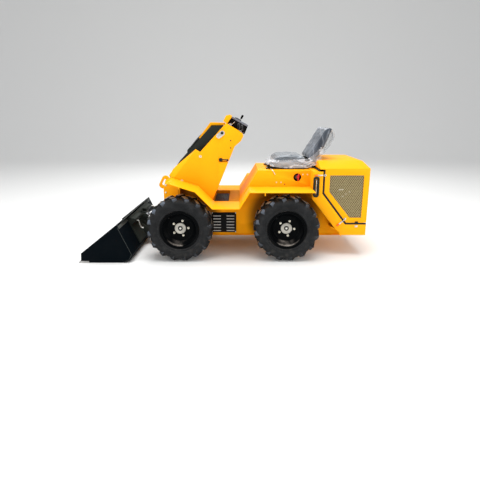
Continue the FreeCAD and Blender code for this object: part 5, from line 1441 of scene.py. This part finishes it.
@dataclass
class Seat:
    """Wrapped cushion and backrest, the loose film round them, slide rails and lever."""

    voxel: float = 0.0055
    pressure: float = 4.0

    def pad(self, node: str, finish: Finish, cap: float, streak: tuple) -> bpy.types.Object:
        """A CAD soft solid, remeshed, blown up a little as cloth and creased.

        Args:
            node: The CAD node.
            finish: Its finish.
            cap: How far a point may move, in metres.
            streak: How often the creases repeat along each direction, per metre.

        Returns:
            The piece.
        """
        piece = bmesh.new()
        piece.from_mesh(frame["nodes"][node].data)
        bmesh.ops.remove_doubles(piece, verts=piece.verts, dist=1e-5)
        middle = sum((vert.co for vert in piece.verts), Vector()) / len(piece.verts)
        bmesh.ops.scale(piece, vec=(0.980, 0.970, 0.970), space=Matrix.Translation(-middle), verts=piece.verts)
        round_edges(piece, 0.012, 3, 25)
        data = bpy.data.meshes.new(node + "_pad")
        piece.to_mesh(data)
        piece.free()
        made = bpy.data.objects.new(node + "_wrapped", data)
        bpy.context.scene.collection.objects.link(made)
        remesh = made.modifiers.new("voxels", "REMESH")
        remesh.mode = "VOXEL"
        remesh.voxel_size = self.voxel
        self.bake(made)
        self.inflate(made, cap)
        self.crease(made, streak)
        fine = made.modifiers.new("fine", "SUBSURF")
        fine.levels = fine.render_levels = 1
        made.data.materials.clear()
        made.data.materials.append(finish.material())
        for face in made.data.polygons:
            face.use_smooth = True
        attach(made, "chassis")
        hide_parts(node)
        return made

    @staticmethod
    def bake(made: bpy.types.Object) -> None:
        """Applies an object's modifiers to its mesh."""
        depsgraph = bpy.context.evaluated_depsgraph_get()
        fresh = bpy.data.meshes.new_from_object(made.evaluated_get(depsgraph))
        made.modifiers.clear()
        made.data = fresh

    def inflate(self, made: bpy.types.Object, cap: float) -> None:
        """Blows the mesh up as cloth for twenty frames, each point moving no farther than the cap."""
        before = [vert.co.copy() for vert in made.data.vertices]
        cloth = made.modifiers.new("cloth", "CLOTH")
        cloth.settings.use_pressure = True
        cloth.settings.uniform_pressure_force = self.pressure
        cloth.settings.effector_weights.gravity = 0
        cloth.settings.quality = 4
        cloth.point_cache.frame_start = 1
        cloth.point_cache.frame_end = 20
        for number in range(1, 21):
            bpy.context.scene.frame_set(number)
        self.bake(made)
        for vert, start in zip(made.data.vertices, before):
            step = vert.co - start
            if step.length > cap:
                vert.co = start + step.normalized() * cap
        bpy.context.scene.frame_set(1)

    @staticmethod
    def crease(made: bpy.types.Object, streak: tuple) -> None:
        """Draws the film tight in ridges along the pad."""
        made.data.update()
        normals = [vert.normal.copy() for vert in made.data.vertices]
        for vert, normal in zip(made.data.vertices, normals):
            spot = Vector(c * s for c, s in zip(vert.co, streak))
            ridge = 1 - abs(noise.noise(spot))
            fine = 1 - abs(noise.noise(spot * 2.3 + Vector((7, 3, 1))))
            vert.co += normal * (ridge ** 6 * 0.0036 + fine ** 5 * 0.0010 - 0.0026)

    def film(self, name: str, lines: tuple, billow: float, fray: float) -> None:
        """A loose sheet stretched between a row of lines, each a list of points from its top to its hem.

        Args:
            name: The piece's name.
            lines: The lines, from one edge of the sheet to the other.
            billow: How far its folds stand out.
            fray: How much its hem wanders.
        """
        piece = bmesh.new()
        across, down = 60, 40
        bmesh.ops.create_grid(piece, x_segments=across, y_segments=down, size=0.5)
        rows = [[Vector(point) for point in line] for line in lines]
        for vert in piece.verts:
            sideways, share = vert.co.x + 0.5, vert.co.y + 0.5
            wander = noise.noise(Vector((sideways * 7, 3.1, 0.4))) * fray * share
            place = min(len(rows) - 1.001, sideways * (len(rows) - 1))
            first = int(place)
            reach = min(1.0, max(0.0, share - wander))
            low, high = self.on_line(rows[first], reach), self.on_line(rows[first + 1], reach)
            vert.co = low.lerp(high, place - first)
        piece.normal_update()
        normals = {vert: vert.normal.copy() for vert in piece.verts}
        for vert, normal in normals.items():
            spot = Vector((vert.co.x * 6, vert.co.y * 9, vert.co.z * 19))
            fold = noise.noise(spot) + 0.4 * noise.noise(spot * 2.1 + Vector((4, 1, 7)))
            vert.co += normal * (fold * billow)
        for face in piece.faces:
            face.smooth = True
        data = bpy.data.meshes.new(name)
        piece.to_mesh(data)
        area = sum(face.calc_area() for face in piece.faces)
        piece.free()
        width = sum((b[0] - a[0]).length for a, b in zip(rows, rows[1:]))
        data.materials.append(FILM.material())
        made = bpy.data.objects.new(name, data)
        bpy.context.scene.collection.objects.link(made)
        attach(made, "chassis")
        area / width

    @staticmethod
    def on_line(line: list, share: float) -> Vector:
        """The point at a share of a polyline's length."""
        runs = [(b - a).length for a, b in zip(line, line[1:])]
        left = share * sum(runs)
        for start, end, run in zip(line, line[1:], runs):
            if left <= run:
                return start.lerp(end, left / run)
            left -= run
        return line[-1].copy()

    def build_frame(self) -> None:
        """Slide rails, their cross bar, the adjuster lever and the latch rod."""
        shape = Shape(BLACK, BRIGHT, BLACK_PLASTIC, GREY_PLASTIC)
        for y in (-0.150, 0.150):
            shape.box((0.375, y - 0.020, 0.7755), (0.735, y + 0.020, 0.7865), 0, 0.0015)
            shape.box((0.390, y - 0.013, 0.7860), (0.725, y + 0.013, 0.7960), 0, 0.0015)
            for x in (0.383, 0.728):
                bolt(shape, (x, y - 0.0165, 0.7865), (0, 0, 1), 0.0045, 1)
        shape.add(bent_mesh([(0.412, -0.150, 0.7960), (0.394, -0.150, 0.7960), (0.394, 0.150, 0.7960),
                             (0.412, 0.150, 0.7960)], 0.0060, 0.012), 0)
        shape.add(bent_mesh([(0.405, -0.140, 0.7960), (0.405, -0.205, 0.7990), (0.399, -0.232, 0.8120)],
                            0.0050, 0.010), 1)
        shape.rod((0.4010, -0.222, 0.8060), (0.3960, -0.240, 0.8180), 0.0110, 2, 0.004, 20)
        shape.add(bent_mesh([(0.4150, -0.190, 0.7830), (0.4230, -0.262, 0.7810), (0.4330, -0.2800, 0.7700),
                             (0.4510, -0.2800, 0.7370)], 0.0032, 0.006, 10, 4), 1)
        shape.finish("seat_rails", "chassis", "black_paint")

    def build(self) -> None:
        """The seat."""
        self.pad("seat_cushion", SEAT_CUSHION, 0.008, (5, 5, 16))
        self.pad("seat_backrest", SEAT_BACK, 0.006, (16, 16, 3))
        back = [(0.9560, 1.1500), (0.9900, 1.1180), (0.9960, 1.0790), (0.9830, 1.0420), (0.9560, 0.9880),
                (0.9080, 0.9300), (0.8400, 0.8600), (0.8060, 0.8080)]
        hang = tuple([(x, y, z) for x, z in back] for y in (-0.205, -0.10, 0.0, 0.10, 0.205))
        self.film("backrest_film", hang, 0.007, 0.05)
        skirt = (
            [(0.4420, 0.205, 0.868), (0.4160, 0.208, 0.842), (0.4060, 0.206, 0.812)],
            [(0.4400, 0.120, 0.870), (0.4040, 0.120, 0.846), (0.3800, 0.120, 0.816)],
            [(0.4380, 0.000, 0.872), (0.3980, 0.000, 0.850), (0.3680, 0.000, 0.818)],
            [(0.4380, -0.110, 0.872), (0.3980, -0.110, 0.848), (0.3720, -0.110, 0.814)],
            [(0.4480, -0.206, 0.866), (0.4180, -0.214, 0.842), (0.4000, -0.218, 0.806)],
            [(0.5000, -0.215, 0.862), (0.5000, -0.226, 0.832), (0.5040, -0.230, 0.792)],
            [(0.5900, -0.216, 0.866), (0.5900, -0.226, 0.834), (0.5960, -0.231, 0.790)],
            [(0.6800, -0.216, 0.868), (0.6840, -0.226, 0.834), (0.6940, -0.231, 0.788)],
            [(0.7500, -0.215, 0.872), (0.7600, -0.224, 0.838), (0.7740, -0.228, 0.796)],
            [(0.8150, -0.213, 0.915), (0.8320, -0.221, 0.876), (0.8260, -0.224, 0.815)],
            [(0.8760, -0.211, 0.985), (0.8960, -0.218, 0.940), (0.8800, -0.220, 0.868)],
        )
        self.film("cushion_film", skirt, 0.006, 0.16)
        self.build_frame()


# Stage and camera


@dataclass
class Studio:
    """Pale floor, soft lamps and the camera at the photograph's place."""

    eye: tuple = (0.1325, -3.484, 1.2396)
    down: float = 13.22
    lens: float = 26.7
    shift: float = -0.0802
    floor_shade: tuple = (0.80, 0.80, 0.79)
    bend: tuple = (7.0, 6.0)
    extent: float = 40.0

    def build_camera(self) -> None:
        """The camera."""
        data = bpy.data.cameras.new("photo_camera")
        data.lens = self.lens
        data.sensor_width = 36
        data.shift_y = self.shift
        camera = bpy.data.objects.new("photo_camera", data)
        camera.location = self.eye
        camera.rotation_euler = (math.radians(90 - self.down), 0, 0)
        bpy.context.scene.collection.objects.link(camera)
        bpy.context.scene.camera = camera

    def build_floor(self) -> None:
        """A wide floor that curves up into a backdrop far behind the machine."""
        depth, radius = self.bend
        line = [(-self.extent, 0.0), (depth, 0.0)]
        for step in range(1, 25):
            angle = math.radians(90 * step / 24)
            line.append((depth + radius * math.sin(angle), radius - radius * math.cos(angle)))
        line.append((depth + radius, self.extent))
        piece = bmesh.new()
        corners = [piece.verts.new((-self.extent, y, z - 0.0005)) for y, z in line]
        edges = [piece.edges.new(pair) for pair in zip(corners, corners[1:])]
        grown = bmesh.ops.extrude_edge_only(piece, edges=edges)["geom"]
        moved = [item for item in grown if isinstance(item, bmesh.types.BMVert)]
        bmesh.ops.translate(piece, vec=(2 * self.extent, 0, 0), verts=moved)
        bmesh.ops.recalc_face_normals(piece, faces=piece.faces)
        for face in piece.faces:
            face.smooth = True
        data = bpy.data.meshes.new("floor")
        piece.to_mesh(data)
        piece.free()
        data.materials.append(self.floor_material())
        floor = bpy.data.objects.new("floor", data)
        bpy.context.scene.collection.objects.link(floor)

    def floor_material(self) -> bpy.types.Material:
        """Plain matt floor."""
        graph = Graph("studio_floor")
        graph.surface(Base_Color=self.floor_shade, Roughness=0.9)
        return graph.material

    def build_light(self) -> None:
        """Even sky light with two large soft lamps."""
        world = bpy.data.worlds.new("sky")
        bpy.context.scene.world = world
        world.use_nodes = True
        sky = world.node_tree.nodes["Background"]
        sky.inputs["Color"].default_value = (0.97, 0.98, 1.0, 1.0)
        sky.inputs["Strength"].default_value = 0.64
        lamps = (
            ("top", (0.2, -0.6, 6.0), 360, 4.0, (1.0, 1.0, 1.0)),
            ("front_side", (-5.6, -4.6, 1.9), 165, 3.0, (1.0, 1.0, 0.98)),
            ("rear_side", (5.8, -4.6, 1.9), 165, 3.0, (1.0, 1.0, 0.98)),
            ("back", (0.5, 4.5, 4.5), 90, 3.5, (1.0, 1.0, 1.0)),
        )
        for name, spot, power, size, tint in lamps:
            data = bpy.data.lights.new(name, "AREA")
            data.energy = power
            data.size = size
            data.color = tint
            lamp = bpy.data.objects.new(name, data)
            lamp.matrix_world = Matrix.Translation(spot) @ (
                Vector((0, 0, 0.4)) - Vector(spot)).to_track_quat("-Z", "Y").to_matrix().to_4x4()
            bpy.context.scene.collection.objects.link(lamp)

    def build(self) -> None:
        """Everything round the machine."""
        bpy.context.scene.view_settings.view_transform = "Standard"
        self.build_camera()
        self.build_floor()
        self.build_light()


def main() -> None:
    """Builds the studio, dresses the machine and reports its pieces."""
    logging.basicConfig(level=logging.INFO, format="%(message)s")
    Studio().build()
    for node, finish in PLAIN_NODES.items():
        paint_node(node, finish)
    for node, (body, finish, slot, width) in SHEET_METAL.items():
        softened(node, body, finish, slot, width)
    for end, x, first_nut in WHEELS:
        for side, sign in SIDES:
            wheel = Wheel(end, side, Vector((x, sign * WHEEL_ACROSS, AXLE_HEIGHT)), sign, first_nut=first_nut)
            wheel.build_tyre()
            wheel.build_rim()
    Tower().build()
    Fender().build()
    Floor().build()
    Louvres().build()
    Lug().build()
    HoodTrim().build()
    Handles().build()
    Switch().build()
    Console().build()
    Hitch().build()
    Hoses().build()
    Seat().build()


if __name__ == "__main__":
    main()
